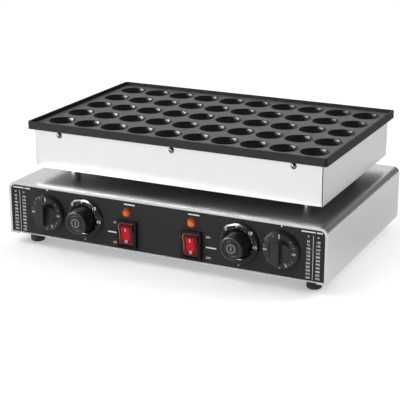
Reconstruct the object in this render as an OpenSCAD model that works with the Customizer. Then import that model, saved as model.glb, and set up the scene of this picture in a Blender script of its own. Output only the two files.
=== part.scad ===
// Countertop poffertjes maker: a cast baking plate with fifty pits, heated from
// below by two tubular elements, on a sheet-steel control base.
// Millimetres, +Z up. The origin is on the floor, at the centre of the footprint.

/* [Baking plate] */
// Pits in one row, from left to right
pit_columns = 10; // [10:2:12]
// Rows of pits, from front to back
pit_rows = 5; // [5:2:7]
// Distance between pits along a row
pit_pitch_x = 45; // [45:0.5:52]
// Distance between rows
pit_pitch_y = 56; // [51:0.5:58]
// Radius of a pit's bowl where it would meet the deck
pit_r = 20.4; // [17:0.2:20.4]
// Depth of a pit below the deck
pit_depth = 13.5; // [11:0.5:15]
// Radius of the rounded lip round each pit
pit_lip = 1.5; // [0.6:0.1:1.6]
// Metal under a pit
pit_wall = 3; // [2:0.5:4]
// Bare deck between the outer pits and the rim, at each side
side_deck = 8.6; // [0.5:0.1:15]
// Bare deck in front of the first row
front_deck = 19; // [16:1:60]
// Bare deck behind the last row
rear_deck = 10.5; // [7:0.5:40]
// Thickness of the deck between the pits
deck_t = 5; // [4:0.5:6]
// Height of the rim above the deck
rim_h = 5; // [4:0.5:10]
// Width of the rim's top
rim_w = 3; // [2.5:0.5:5]
// Width of the step inside the rim
rim_step = 1; // [0.5:0.5:4]
// How far the skirt hangs below the deck
skirt_drop = 1.5; // [0.5:0.5:6]
// Thickness of the skirt
skirt_t = 5; // [3:0.5:5.5]
// Radius of the plate's corners in plan
plate_corner_r = 4; // [2.5:0.5:8]
// Width of the cast ribs that the heating elements press against
rib_w = 8; // [6:0.5:9]

/* [Upper box] */
// Height of the steel box below the plate's skirt
box_h = 59; // [52:1:80]
// How far the plate overhangs the box at each side
box_inset_x = 7.5; // [6:0.5:8]
// How far the plate overhangs the box at front and back
box_inset_y = 8; // [6:0.5:9]
// Sheet thickness of the box
box_t = 1; // [0.8:0.1:1.2]
// Width of the open seam at each folded corner
box_seam = 1.4; // [1.3:0.1:2]
// Thickness of the mineral wool pad on the box floor
pad_t = 20; // [10:1:22]

/* [Heating] */
// Radius of a heating element's tube
element_r = 4; // [3:0.25:4.5]
// Radius of the bend down to an element's terminals
terminal_bend_r = 12; // [8:1:13]
// Length of an element's terminal pin
pin_l = 7; // [4:1:8]
// Distance from the middle to an element's inner bend
element_inner = 16; // [14:1:19]
// Width of an element clamp bar
clamp_w = 14; // [12:1:18]
// Thickness of an element clamp bar
clamp_t = 2; // [1.5:0.5:3]

/* [Supports] */
// Open gap between the base and the upper box
gap_h = 16; // [10:0.5:40]
// Radius of a support post
post_r = 7.5; // [6:0.5:10]
// Centre of a post from the side of the box
post_in_x = 39; // [15:0.5:80]
// Centre of a post from the front or back of the box
post_in_y = 50; // [25:1:70]
// Radius of the black cable tube in the middle
tube_r = 8; // [7.5:0.5:10]
// Radius of the cable tube's threaded ends
tube_thread_r = 6.5; // [6:0.1:7]
// Radius of the cable tube's bore
tube_bore_r = 5; // [4:0.5:5]
// Radius of the bolts through the posts
post_bolt_r = 3; // [2.5:0.1:3.5]

/* [Base] */
// Height of the base housing without its feet
base_h = 80; // [80:1:110]
// How far the base is wider than the plate, at each side
base_side = 16; // [10:0.5:40]
// How far the base stands out in front of the plate
base_front = 32; // [10:1:60]
// How far the plate overhangs the back of the base
plate_over = 11; // [0:1:15]
// Outer radius of the bends between the base's top and sides
bend_r = 10; // [7:1:14]
// Sheet thickness of the base
base_t = 1.5; // [1:0.1:2]
// Width of the bright edge round the control panel
lip_w = 3.5; // [3:0.5:5]
// Width of the flanges folded in under the sides and behind
flange_w = 14; // [12:1:15]

/* [Feet] */
// Height of the base above the floor
foot_h = 18; // [10:1:30]
// Radius of a rubber foot
foot_r = 11; // [9:0.5:12]
// Centre of a foot from the side of the base
foot_in_x = 28; // [28:1:50]
// Centre of a foot from the front or the back of the base
foot_in_y = 30; // [30:1:60]

/* [Dials and timers] */
// Height of the dials' and timers' axes above the base's lower edge
control_z = 40.5; // [36:0.5:42]
// Thermostat dials from the sides of the base
dial_in = 67; // [62:0.5:68]
// Radius of a thermostat dial
dial_r = 27.5; // [22:0.5:28]
// Height of a thermostat dial's disc above the panel
dial_h = 7; // [5:0.5:8]
// Height of a thermostat dial's grip above the panel
dial_grip_h = 24; // [19:1:30]
// Width of a thermostat dial's grip at its front
dial_grip_w = 12; // [10:0.5:14]
// Radius of the boss that a dial's grip is scooped out of
dial_grip_r = 16; // [14:0.5:17]
// Distance between a thermostat dial and its timer
timer_pitch = 62.5; // [61:0.5:66]
// Outer radius of a timer's bezel ring
bezel_r = 31; // [27:0.5:32]
// Height of a timer's bezel ring above the panel
bezel_h = 5; // [3.5:0.5:7]
// Radius of a timer knob at its foot
knob_r = 19.5; // [18.5:0.5:20.5]
// Radius of a timer knob at its front
knob_front_r = 17; // [14:0.5:18]
// Height of a timer knob above the panel
knob_h = 27; // [20:1:35]
// Radius of the dials' and knobs' shafts
shaft_r = 3; // [2.5:0.1:3.2]

/* [Switches and lamps] */
// Switches and lamps from the middle
switch_x = 51.5; // [40:0.5:60]
// Height of a switch's centre above the base's lower edge
switch_z = 27; // [26:0.5:28]
// Width of a switch's frame
switch_w = 31; // [30:0.5:34]
// Height of a switch's frame
switch_h = 42; // [40:0.5:43]
// How far a switch's frame stands out of the panel
switch_rim = 5; // [3:0.5:6]
// Width of a rocker
rocker_w = 22; // [18:0.5:22]
// Radius of a rocker's ends about its pivot
rocker_r = 17.5; // [15:0.5:17.5]
// Swing of a rocker from off to on, in degrees
rocker_swing = 16; // [10:1:18]
// Height of a lamp's centre above the base's lower edge
lamp_z = 59.5; // [58:0.5:60]
// Radius of a lamp's lens
lamp_r = 7.5; // [7:0.5:9]
// How far a lamp's lens stands out of the panel
lamp_h = 8; // [5:0.5:10]

/* [Cord entry] */
// Cable gland from the middle
gland_x = -150; // [-180:5:180]
// Height of the cable gland above the base's lower edge
gland_z = 30; // [28:1:40]
// Radius of the hole for the supply cord
gland_bore_r = 4.2; // [3.5:0.1:5]
// How far the cable gland stands out of the back
gland_out = 18; // [14:1:26]

/* [Fits] */
// Gap between fixed pieces that slip together
slip = 0.2; // [0.1:0.05:0.3]
// Radial gap of a shaft or pin in its bearing
running = 0.06; // [0.04:0.01:0.1]
// Gap between a turning piece and the panel
turning_gap = 1; // [0.6:0.1:1.2]

/* [Hidden] */
$fn = 48;

steel = [0.78, 0.78, 0.79];
bright_steel = [0.88, 0.88, 0.89];
zinc = [0.70, 0.71, 0.72];
coating = [0.16, 0.16, 0.17];
black_plastic = [0.08, 0.08, 0.09];
black_print = [0.13, 0.13, 0.14];
rubber = [0.07, 0.07, 0.07];
wool = [0.85, 0.82, 0.72];
red_plastic = [0.75, 0.08, 0.12];
amber_plastic = [0.95, 0.50, 0.10];
ceramic = [0.90, 0.88, 0.82];

left = -1;
right = 1;
// Overshoot that lets a cut pass clear through a face
cut = 1;

// A pit is a spherical bowl whose lip is rounded into the deck. The lip's circle reaches
// a little into the bowl's, so that the two meet in a clear edge
lip_bite = 0.02;
bowl_r = (pow(pit_r, 2) + pow(pit_depth, 2)) / (2 * pit_depth);
bowl_c = bowl_r - pit_depth;
lip_x = sqrt(pow(bowl_r + pit_lip, 2) - pow(bowl_c + pit_lip, 2)) - lip_bite;
tangent_x = lip_x * bowl_r / (bowl_r + pit_lip);
tangent_z = bowl_c - (bowl_c + pit_lip) * bowl_r / (bowl_r + pit_lip);

// Plan of the plate, from the pits outwards
pit_span_x = (pit_columns - 1) * pit_pitch_x;
pit_span_y = (pit_rows - 1) * pit_pitch_y;
lip_out = ceil(lip_x * 10) / 10;
foot_of_rim = rim_w + rim_step;
plate_w = pit_span_x + 2 * (lip_out + side_deck + foot_of_rim);
plate_d = pit_span_y + 2 * (lip_out + foot_of_rim) + front_deck + rear_deck;
box_w = plate_w - 2 * box_inset_x;
box_d = plate_d - 2 * box_inset_y;
base_w = plate_w + 2 * base_side;
base_d = plate_d + base_front - plate_over;

// The control panel stands behind the bright lip at the base's front
overlay_t = 0.3;
panel_t = base_t;
panel_sink = base_t - overlay_t;
front_reach = max(knob_h, dial_grip_h) - panel_sink;
rear_reach = max(gland_out, plate_over);
front_y = -(base_d + rear_reach - front_reach) / 2;
rear_y = front_y + base_d;
plate_y = front_y + base_front + plate_d / 2;
field_y = plate_y + (front_deck - rear_deck) / 2;
base_y = front_y + base_d / 2;

// Heights, from the floor up
base_z = foot_h;
base_top = base_z + base_h;
box_z = base_top + gap_h;
skirt_z = box_z + box_h;
deck_under = skirt_z + skirt_drop;
deck_z = deck_under + deck_t;
plate_top = deck_z + rim_h;
bowl_bottom = deck_z - pit_depth - pit_wall;
floor_z = box_z + box_t;
tray_z = base_z + base_t;
tray_top = tray_z + base_t;

// Heating elements lie under the ribs, which stand between the rows
rib_count = pit_rows - 1;
element_z = bowl_bottom - element_r;
clamp_top = element_z - element_r;
element_bend_r = pit_pitch_y / 2;
bend_gap = 4;
outer_bend_x = box_w / 2 - box_t - bend_gap - element_r - element_bend_r;
inner_bend_x = element_inner + element_r + element_bend_r;
terminal_x = 13;
pin_r = 1.5;
boss_r = 5;
clamp_columns = [1, 3];

// Small screws, as the radius of the shank and of the hole it bites into
screw_r = 2;
tap_r = screw_r + 0.05;
head_r = 3.6;
head_h = 2.2;

// The box is held to the plate by screws into lugs under the deck's edge
lug_w = 14;
lug_in = 43;
lug_d = 9;
lug_drop = 14;
lug_x = box_w / 2 - lug_in;
rim_screw_z = skirt_z - 6.5;
rim_screw_r = 2.4;
rim_head_r = 4.6;
rim_head_h = 3.4;
rim_screw_l = lug_d - 1;

// Posts and the nuts of the tube between them
post_x = box_w / 2 - post_in_x;
post_y = box_d / 2 - post_in_y;
hex_r = post_bolt_r + 2.8;
hex_h = 4.5;
bolt_end = 2.5;
ring_nut_r = tube_thread_r + 5;
ring_nut_h = 4;
thread_end = 3;

// Base
lip_corner_r = 8;
front_flange = 14;
bottom_screw_in = flange_w / 2;
louvre_w = 36;
louvre_h = 3;
louvre_count = 5;
louvre_pitch = 8;
foot_edge = 3;
foot_screw_r = 2.5;
foot_head_r = 4.6;
foot_head_h = 3;
foot_recess = 7;

// Controls
dial_x = base_w / 2 - dial_in;
timer_x = dial_x - timer_pitch;
panel_front = -overlay_t;
panel_back = panel_front - panel_t;
bushing_r = 5;
relief_r = 18;
screw_pitch = 28;
shaft_in = 14;
shaft_hub = 7;
knob_hub = shaft_hub + 8;
spade_w = 6.3;
spade_t = 0.8;
spade_l = 8;
pivot_in = 2.1;
pivot_r = 1.5;
rocker_gap = 0.5;
rocker_back = 2;
switch_wall = 2;
switch_depth = 26;
lamp_thread_r = 5;
lamp_spigot_r = 4;
gland_thread_r = 8;

// Rounded rectangle whose corners are true arcs
module rounded_rect(w, d, r) {
    square([w - 2 * r, d], center = true);
    square([w, d - 2 * r], center = true);
    for (x = [-1, 1], y = [-1, 1])
        translate([x * (w / 2 - r), y * (d / 2 - r)]) circle(r);
}

module rounded_block(w, d, h, r) {
    linear_extrude(h) rounded_rect(w, d, r);
}

// Rectangle that stands on the line y = 0, with only its upper corners rounded
module arch(w, h, r) {
    translate([-w / 2, 0]) square([w, h - r]);
    translate([-w / 2 + r, 0]) square([w - 2 * r, h]);
    for (x = [-1, 1]) translate([x * (w / 2 - r), h - r]) circle(r);
}

// Upright profile drawn in X and Z, from one depth to another
module across(y0, y1, z = 0) {
    translate([0, y1, z]) rotate([90, 0, 0]) linear_extrude(y1 - y0) children();
}

// Local x and y lie in the panel's face and local z points out of it
module on_panel(x, z) {
    translate([x, front_y + panel_sink, base_z + z]) rotate([90, 0, 0]) children();
}

module hex_nut(r, h, bore) {
    difference() {
        cylinder(r = r, h = h, $fn = 6);
        translate([0, 0, -cut]) cylinder(r = bore, h = h + 2 * cut);
    }
}

// A pit's place on the deck, and a rib's between two rows
function pit_x(i) = (i - (pit_columns - 1) / 2) * pit_pitch_x;
function row_y(j) = field_y + (j - (pit_rows - 1) / 2) * pit_pitch_y;
function rib_y(k) = field_y + (k - (rib_count - 1) / 2) * pit_pitch_y;

module at_each_pit() {
    for (i = [0:pit_columns - 1], j = [0:pit_rows - 1])
        translate([pit_x(i), row_y(j), deck_z]) children();
}

// Clamps cross two runs of an element, under every second row
module at_each_clamp() {
    for (side = [left, right], c = clamp_columns, j = [1:2:pit_rows - 2])
        translate([side * (c + 0.5) * pit_pitch_x, row_y(j), 0]) children();
}

// Local z points out of the box's front or back wall
module at_each_rim_screw() {
    for (x = [-lug_x, 0, lug_x], end = [-1, 1])
        translate([x, plate_y + end * box_d / 2, rim_screw_z])
            rotate([-90 * end, 0, 0]) children();
}

module at_each_post() {
    for (x = [-1, 1], y = [-1, 1])
        translate([x * post_x, plate_y + y * post_y, 0]) children();
}

module at_each_foot() {
    for (x = [-1, 1], y = [-1, 1])
        translate([x * (base_w / 2 - foot_in_x), base_y + y * (base_d / 2 - foot_in_y), 0])
            children();
}

// Section of a pit's hollow, from its axis outwards
module pit_section() {
    difference() {
        polygon([[0, cut], [lip_x, cut], [lip_x, 0], [tangent_x, tangent_z],
                 [0, -pit_depth / 2]]);
        translate([lip_x, -pit_lip]) circle(pit_lip);
    }
    intersection() {
        translate([0, bowl_c]) circle(bowl_r, $fn = 96);
        translate([0, -pit_depth - cut])
            square([bowl_r, pit_depth + cut + tangent_z + pit_lip / 3]);
    }
}

// Section of the metal round a pit, up to the middle of the deck
module bowl_section() {
    intersection() {
        translate([0, bowl_c]) circle(bowl_r + pit_wall, $fn = 96);
        translate([0, -pit_depth - pit_wall])
            square([bowl_r + pit_wall, pit_depth + pit_wall - deck_t / 2]);
    }
}

// What hangs below the deck, trimmed to fit between the box's walls
module plate_underside() {
    intersection() {
        union() {
            at_each_pit() rotate_extrude($fn = 96) bowl_section();
            for (k = [0:rib_count - 1])
                translate([-outer_bend_x - element_bend_r, rib_y(k) - rib_w / 2, bowl_bottom])
                    cube([2 * (outer_bend_x + element_bend_r), rib_w,
                          deck_under - bowl_bottom + cut]);
            at_each_clamp()
                translate([0, 0, clamp_top])
                    cylinder(r = boss_r, h = 2 * element_r + pit_wall / 2);
            for (x = [-lug_x, 0, lug_x], end = [-1, 1])
                translate([x - lug_w / 2, plate_y + end * (box_d - lug_d) / 2 - lug_d / 2,
                           deck_under - lug_drop])
                    cube([lug_w, lug_d, lug_drop + cut]);
        }
        translate([0, plate_y, clamp_top - cut])
            linear_extrude(deck_z - clamp_top)
                square([box_w - 2 * (box_t + slip), box_d - 2 * (box_t + slip)], center = true);
    }
}

module baking_plate() {
    inner_w = plate_w - 2 * rim_w;
    inner_d = plate_d - 2 * rim_w;
    step_z = plate_top - rim_h * 0.4;
    color(coating) difference() {
        union() {
            difference() {
                translate([0, plate_y, skirt_z])
                    rounded_block(plate_w, plate_d, plate_top - skirt_z, plate_corner_r);
                translate([0, plate_y, skirt_z - cut])
                    rounded_block(plate_w - 2 * skirt_t, plate_d - 2 * skirt_t,
                                  skirt_drop + cut, plate_corner_r / 2);
            }
            plate_underside();
        }
        translate([0, plate_y, step_z])
            rounded_block(inner_w, inner_d, plate_top, plate_corner_r / 2);
        translate([0, plate_y, deck_z])
            rounded_block(inner_w - 2 * rim_step, inner_d - 2 * rim_step,
                          plate_top, plate_corner_r / 2);
        at_each_pit() rotate_extrude($fn = 96) pit_section();
        at_each_clamp()
            translate([0, 0, clamp_top - cut]) cylinder(r = tap_r, h = 2 * element_r + cut);
        at_each_rim_screw()
            translate([0, 0, -rim_screw_l - slip])
                cylinder(r = rim_screw_r + 0.05, h = rim_screw_l + cut);
    }
}

// One run of an element bends into the next at alternate ends
module heating_element(side) {
    color(zinc) translate([0, 0, element_z]) {
        for (k = [0:rib_count - 1]) {
            start = (k == 0 || k == rib_count - 1) ? terminal_x + terminal_bend_r : inner_bend_x;
            translate([side * (start + outer_bend_x) / 2, rib_y(k), 0])
                rotate([0, 90, 0])
                    cylinder(r = element_r, h = outer_bend_x - start, center = true);
        }
        for (k = [0:2:rib_count - 2])
            translate([side * outer_bend_x, rib_y(k) + element_bend_r, 0])
                rotate([0, 0, side > 0 ? -90 : 90]) rotate_extrude(angle = 180)
                    translate([element_bend_r, 0]) circle(element_r);
        for (k = [1:2:rib_count - 3])
            translate([side * inner_bend_x, rib_y(k) + element_bend_r, 0])
                rotate([0, 0, side > 0 ? 90 : -90]) rotate_extrude(angle = 180)
                    translate([element_bend_r, 0]) circle(element_r);
        for (k = [0, rib_count - 1])
            translate([side * (terminal_x + terminal_bend_r), rib_y(k), -terminal_bend_r]) {
                rotate([90, 0, 0]) rotate([0, 0, side > 0 ? 90 : 0]) rotate_extrude(angle = 90)
                    translate([terminal_bend_r, 0]) circle(element_r);
                translate([-side * terminal_bend_r, 0, -pin_l]) cylinder(r = pin_r, h = pin_l);
            }
    }
}

module element_clamps() {
    bar_l = pit_pitch_y + 2 * element_r + 4;
    color(steel) at_each_clamp()
        translate([0, 0, clamp_top - clamp_t]) difference() {
            rounded_block(clamp_w, bar_l, clamp_t, 3);
            translate([0, 0, -cut]) cylinder(r = screw_r + slip, h = clamp_t + 2 * cut);
        }
}

module clamp_screws() {
    color(zinc) at_each_clamp() translate([0, 0, clamp_top - clamp_t]) {
        cylinder(r = screw_r, h = clamp_t + 2 * element_r - cut);
        translate([0, 0, -head_h]) cylinder(r = head_r, h = head_h);
    }
}

module insulation_pad() {
    color(wool) translate([0, 0, floor_z]) difference() {
        translate([0, plate_y, 0])
            rounded_block(box_w - 2 * box_t - 2, box_d - 2 * box_t - 2, pad_t, 3);
        translate([0, plate_y, -cut]) cylinder(r = ring_nut_r + 2, h = pad_t + 2 * cut);
        at_each_post() translate([0, 0, -cut]) cylinder(r = hex_r + 2, h = pad_t + 2 * cut);
    }
}

// A folded pan whose corners are left open by the width of a seam
module upper_box() {
    wall_h = deck_under - box_z;
    color(bright_steel) difference() {
        translate([0, plate_y, box_z])
            linear_extrude(wall_h) square([box_w, box_d], center = true);
        translate([0, plate_y, floor_z])
            linear_extrude(wall_h) square([box_w - 2 * box_t, box_d - 2 * box_t], center = true);
        for (x = [-1, 1], y = [-1, 1])
            translate([x * box_w / 2, plate_y + y * box_d / 2, box_z + wall_h / 2])
                cube([2 * box_seam, 2 * box_seam, wall_h + 2 * cut], center = true);
        translate([0, plate_y, box_z - cut]) cylinder(r = tube_thread_r + slip, h = box_t + 2 * cut);
        at_each_post()
            translate([0, 0, box_z - cut]) cylinder(r = post_bolt_r + slip, h = box_t + 2 * cut);
        at_each_rim_screw()
            translate([0, 0, -box_t - cut]) cylinder(r = rim_screw_r + slip, h = box_t + 2 * cut);
    }
}

// Button head, from its seat outwards
module button_section(r, h) {
    dome_r = (pow(r, 2) + pow(h, 2)) / (2 * h);
    intersection() {
        translate([0, h - dome_r]) circle(dome_r, $fn = 96);
        square([r, h]);
    }
}

module rim_screws() {
    color(bright_steel) at_each_rim_screw() {
        difference() {
            rotate_extrude() button_section(rim_head_r, rim_head_h);
            translate([0, 0, rim_head_h - 1.8]) cylinder(r = 1.7, h = 2, $fn = 6);
        }
        translate([0, 0, -rim_screw_l]) cylinder(r = rim_screw_r, h = rim_screw_l);
    }
}

module support_posts() {
    color(bright_steel) at_each_post() translate([0, 0, base_top]) difference() {
        cylinder(r = post_r, h = gap_h);
        translate([0, 0, -cut]) cylinder(r = post_bolt_r + slip, h = gap_h + 2 * cut);
    }
}

module post_bolts() {
    low = base_top - base_t - hex_h - bolt_end;
    color(zinc) at_each_post() {
        translate([0, 0, low]) cylinder(r = post_bolt_r, h = floor_z - low + cut);
        translate([0, 0, floor_z]) cylinder(r = hex_r, h = hex_h, $fn = 6);
    }
}

module post_nuts() {
    color(zinc) at_each_post()
        translate([0, 0, base_top - base_t - hex_h]) hex_nut(hex_r, hex_h, post_bolt_r + 0.05);
}

// Leads run from the base to the elements inside this tube
module cable_tube() {
    low = base_top - base_t - ring_nut_h - thread_end;
    high = floor_z + ring_nut_h + thread_end;
    color(black_plastic) translate([0, plate_y, 0]) difference() {
        union() {
            translate([0, 0, base_top]) cylinder(r = tube_r, h = gap_h);
            translate([0, 0, low]) cylinder(r = tube_thread_r, h = high - low);
        }
        translate([0, 0, low - cut]) cylinder(r = tube_bore_r, h = high - low + 2 * cut);
    }
}

module cable_tube_nuts() {
    color(zinc) for (z = [base_top - base_t - ring_nut_h, floor_z])
        translate([0, plate_y, z]) hex_nut(ring_nut_r, ring_nut_h, tube_thread_r + 0.05);
}

// One sheet bent over the top and both sides, with lips front and back and
// flanges below
module base_shell() {
    inner_w = base_w - 2 * base_t;
    lip_z = tray_top + slip;
    color(steel) difference() {
        union() {
            difference() {
                across(front_y, rear_y, base_z) arch(base_w, base_h, bend_r);
                across(front_y - cut, rear_y + cut, base_z - cut)
                    arch(inner_w, base_h - base_t + cut, bend_r - base_t);
            }
            for (x = [-1, 1])
                translate([x * (base_w - flange_w) / 2, base_y, base_z + base_t / 2])
                    cube([flange_w, base_d, base_t], center = true);
            across(front_y, front_y + base_t, lip_z) difference() {
                arch(base_w, base_top - lip_z, bend_r);
                translate([0, -cut])
                    arch(base_w - 2 * lip_w, base_top - lip_z - lip_w + cut, lip_corner_r);
            }
            across(rear_y - 2 * base_t, rear_y - base_t, lip_z) difference() {
                arch(base_w, base_top - lip_z, bend_r);
                translate([0, -cut])
                    arch(base_w - 2 * flange_w, base_top - lip_z - flange_w + cut, lip_corner_r);
            }
        }
        translate([0, plate_y, base_top - base_t - cut])
            cylinder(r = tube_thread_r + slip, h = base_t + 2 * cut);
        at_each_post() translate([0, 0, base_top - base_t - cut])
            cylinder(r = post_bolt_r + slip, h = base_t + 2 * cut);
        at_each_bottom_screw() translate([0, 0, -cut])
            cylinder(r = screw_r + slip, h = base_t + 2 * cut);
        at_each_rear_screw() translate([0, 0, -2 * base_t - cut])
            cylinder(r = tap_r, h = base_t + 2 * cut);
    }
}

// Screws up through the side flanges into the bottom plate
module at_each_bottom_screw() {
    for (x = [-1, 1], y = [-0.38, 0, 0.38])
        translate([x * (base_w / 2 - bottom_screw_in), base_y + y * base_d, base_z]) children();
}

// Screws up through the bottom plate into the front panel's flange
module at_each_front_screw() {
    for (x = [-0.3, 0, 0.3])
        translate([x * base_w, front_y + base_t + panel_t + front_flange / 2, tray_z]) children();
}

module at_each_rear_screw() {
    for (x = [-1, 1], z = [0.25, 0.75])
        translate([x * (base_w - flange_w) / 2, rear_y, base_z + z * base_h])
            rotate([-90, 0, 0]) children();
    for (x = [-0.25, 0.25])
        translate([x * base_w, rear_y, base_top - flange_w / 2]) rotate([-90, 0, 0]) children();
}

// Openings that the panel and its printed face have in common
module control_cutouts(round_r) {
    for (side = [left, right]) {
        for (x = [dial_x, timer_x]) translate([side * x, control_z]) circle(round_r);
        translate([side * switch_x, lamp_z]) circle(lamp_thread_r + slip);
        translate([side * switch_x, switch_z])
            square([switch_body_w + 2 * slip, switch_body_h + 2 * slip], center = true);
    }
}

module front_panel() {
    inside_w = base_w - 2 * (base_t + slip);
    top = base_h - base_t - slip;
    low = tray_top - base_z;
    color(black_print) difference() {
        union() {
            across(front_y + base_t, front_y + base_t + panel_t, tray_top)
                arch(inside_w, top - low, bend_r - base_t - slip);
            translate([-inside_w / 2, front_y + base_t, tray_top])
                cube([inside_w, panel_t + front_flange, panel_t]);
        }
        across(front_y + base_t - cut, front_y + base_t + panel_t + cut, base_z)
            control_cutouts(bushing_r + slip);
        at_each_panel_screw() translate([0, 0, panel_back]) {
            translate([0, 0, -cut]) cylinder(r = screw_r + slip, h = panel_t + 2 * cut);
            cylinder(r1 = screw_r + slip, r2 = screw_r + slip + panel_t, h = panel_t);
        }
        at_each_front_screw() cylinder(r = tap_r, h = base_t + panel_t + cut);
    }
}

module panel_overlay() {
    low = tray_top + slip - base_z;
    top = base_h - lip_w - slip;
    color(black_print) difference() {
        across(front_y + panel_sink, front_y + base_t, base_z + low)
            arch(base_w - 2 * (lip_w + slip), top - low, lip_corner_r - slip);
        across(front_y + panel_sink - cut, front_y + base_t + cut, base_z)
            control_cutouts(relief_r);
    }
}

module at_each_panel_screw() {
    for (side = [left, right], x = [dial_x, timer_x], end = [-1, 1])
        on_panel(side * x + end * screw_pitch / 2, control_z) children();
}

// Countersunk screws that the dials and knobs cover
module panel_screws() {
    color(zinc) at_each_panel_screw() translate([0, 0, panel_back]) {
        translate([0, 0, -4]) cylinder(r = screw_r, h = 4 + panel_t);
        cylinder(r1 = screw_r, r2 = screw_r + panel_t, h = panel_t);
    }
}

module rear_panel() {
    wide = base_w - 2 * (base_t + slip);
    high = base_h - (tray_top - base_z) - base_t - 2 * slip;
    color(steel) difference() {
        across(rear_y - base_t, rear_y, tray_top + slip)
            arch(wide, high, bend_r - base_t - slip);
        across(rear_y - base_t - cut, rear_y + cut, base_z) {
            translate([gland_x, gland_z]) circle(gland_thread_r + slip);
            for (x = [-0.06, 0.1, 0.26], i = [0:louvre_count - 1])
                translate([x * base_w, base_h * 0.28 + i * louvre_pitch])
                    rounded_rect(louvre_w, louvre_h, louvre_h / 2 - 0.01);
        }
        at_each_rear_screw() translate([0, 0, -base_t - cut])
            cylinder(r = screw_r + slip, h = base_t + 2 * cut);
    }
}

module rear_screws() {
    color(zinc) at_each_rear_screw() {
        rotate_extrude() button_section(head_r, head_h);
        translate([0, 0, -2 * base_t - 3]) cylinder(r = screw_r, h = 2 * base_t + 3);
    }
}

module bottom_plate() {
    slot_l = 60;
    color(zinc) difference() {
        translate([-base_w / 2 + base_t + slip, front_y, tray_z])
            cube([base_w - 2 * (base_t + slip), base_d, base_t]);
        for (x = [-0.22, 0, 0.22], i = [-2:2])
            translate([x * base_w, base_y + i * 14, tray_z - cut])
                linear_extrude(base_t + 2 * cut) rounded_rect(slot_l, 4, 1.99);
        at_each_foot() translate([0, 0, tray_z - cut])
            cylinder(r = foot_screw_r + slip, h = base_t + 2 * cut);
        at_each_bottom_screw() cylinder(r = tap_r, h = 2 * base_t + cut);
        at_each_front_screw() translate([0, 0, -cut])
            cylinder(r = screw_r + slip, h = base_t + 2 * cut);
    }
}

module bottom_screws() {
    color(zinc) {
        at_each_bottom_screw() {
            translate([0, 0, -head_h]) cylinder(r = head_r, h = head_h);
            cylinder(r = screw_r, h = 2 * base_t + 3);
        }
        at_each_front_screw() {
            translate([0, 0, -head_h]) cylinder(r = head_r, h = head_h);
            cylinder(r = screw_r, h = base_t + panel_t + 3);
        }
    }
}

module feet() {
    color(rubber) at_each_foot() difference() {
        rotate_extrude() {
            translate([0, foot_edge]) square([foot_r, tray_z - foot_edge]);
            square([foot_r - foot_edge, tray_z]);
            translate([foot_r - foot_edge, foot_edge]) circle(foot_edge);
        }
        translate([0, 0, -cut]) cylinder(r = foot_screw_r + slip, h = tray_z + 2 * cut);
        translate([0, 0, -cut]) cylinder(r = foot_head_r + 0.8, h = foot_recess + cut);
    }
}

module foot_screws() {
    color(zinc) at_each_foot() {
        translate([0, 0, foot_recess - foot_head_h]) cylinder(r = foot_head_r, h = foot_head_h);
        translate([0, 0, foot_recess]) cylinder(r = foot_screw_r, h = tray_top + 6 - foot_recess);
    }
}

module foot_nuts() {
    color(zinc) at_each_foot()
        translate([0, 0, tray_top]) hex_nut(foot_screw_r + 2.2, 4, foot_screw_r + 0.05);
}

// Local z points out of the back
module at_gland() {
    translate([gland_x, rear_y, base_z + gland_z]) rotate([-90, 0, 0]) children();
}

module cable_gland() {
    thread_in = 12;
    collar_r = 12;
    collar_h = 4;
    dome = 3;
    color(black_plastic) at_gland() difference() {
        union() {
            translate([0, 0, -base_t - thread_in])
                cylinder(r = gland_thread_r, h = base_t + thread_in + cut);
            cylinder(r = collar_r, h = collar_h, $fn = 6);
            rotate_extrude() {
                square([gland_thread_r + 2, gland_out - dome]);
                square([gland_thread_r + 2 - dome, gland_out]);
                translate([gland_thread_r + 2 - dome, gland_out - dome]) circle(dome);
            }
        }
        translate([0, 0, -base_t - thread_in - cut])
            cylinder(r = gland_bore_r, h = gland_out + base_t + thread_in + 2 * cut);
    }
}

module gland_nut() {
    nut_h = 5;
    color(black_plastic) at_gland() translate([0, 0, -base_t - nut_h])
        hex_nut(gland_thread_r + 4, nut_h, gland_thread_r + 0.05);
}

// Poles in a row, each with two screw holes
module terminal_block() {
    poles = 5;
    pole_w = 11;
    block_d = 24;
    block_h = 16;
    beside_gland = 60;
    before_rear = 45;
    color(ceramic) translate([gland_x + beside_gland, rear_y - before_rear, tray_top]) difference() {
        linear_extrude(block_h) rounded_rect(poles * pole_w, block_d, 2);
        for (i = [0:poles - 1], y = [-1, 1])
            translate([(i - (poles - 1) / 2) * pole_w, y * block_d / 4, block_h / 2])
                cylinder(r = 2.5, h = block_h);
        for (i = [0:poles - 1])
            translate([(i - (poles - 1) / 2) * pole_w, 0, block_h * 0.3])
                rotate([90, 0, 0]) cylinder(r = 1.8, h = block_d + 2, center = true);
    }
}

module spades(pitch, z) {
    for (x = [-1, 1])
        translate([x * pitch / 2, 0, z - spade_l / 2]) cube([spade_t, spade_w, spade_l], center = true);
}

// Shaft with a flat that keeps its knob from slipping round
module flatted(r, l) {
    difference() {
        cylinder(r = r, h = l);
        translate([r * 0.55, -r - cut, -cut]) cube([r, 2 * (r + cut), l + 2 * cut]);
    }
}

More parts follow.
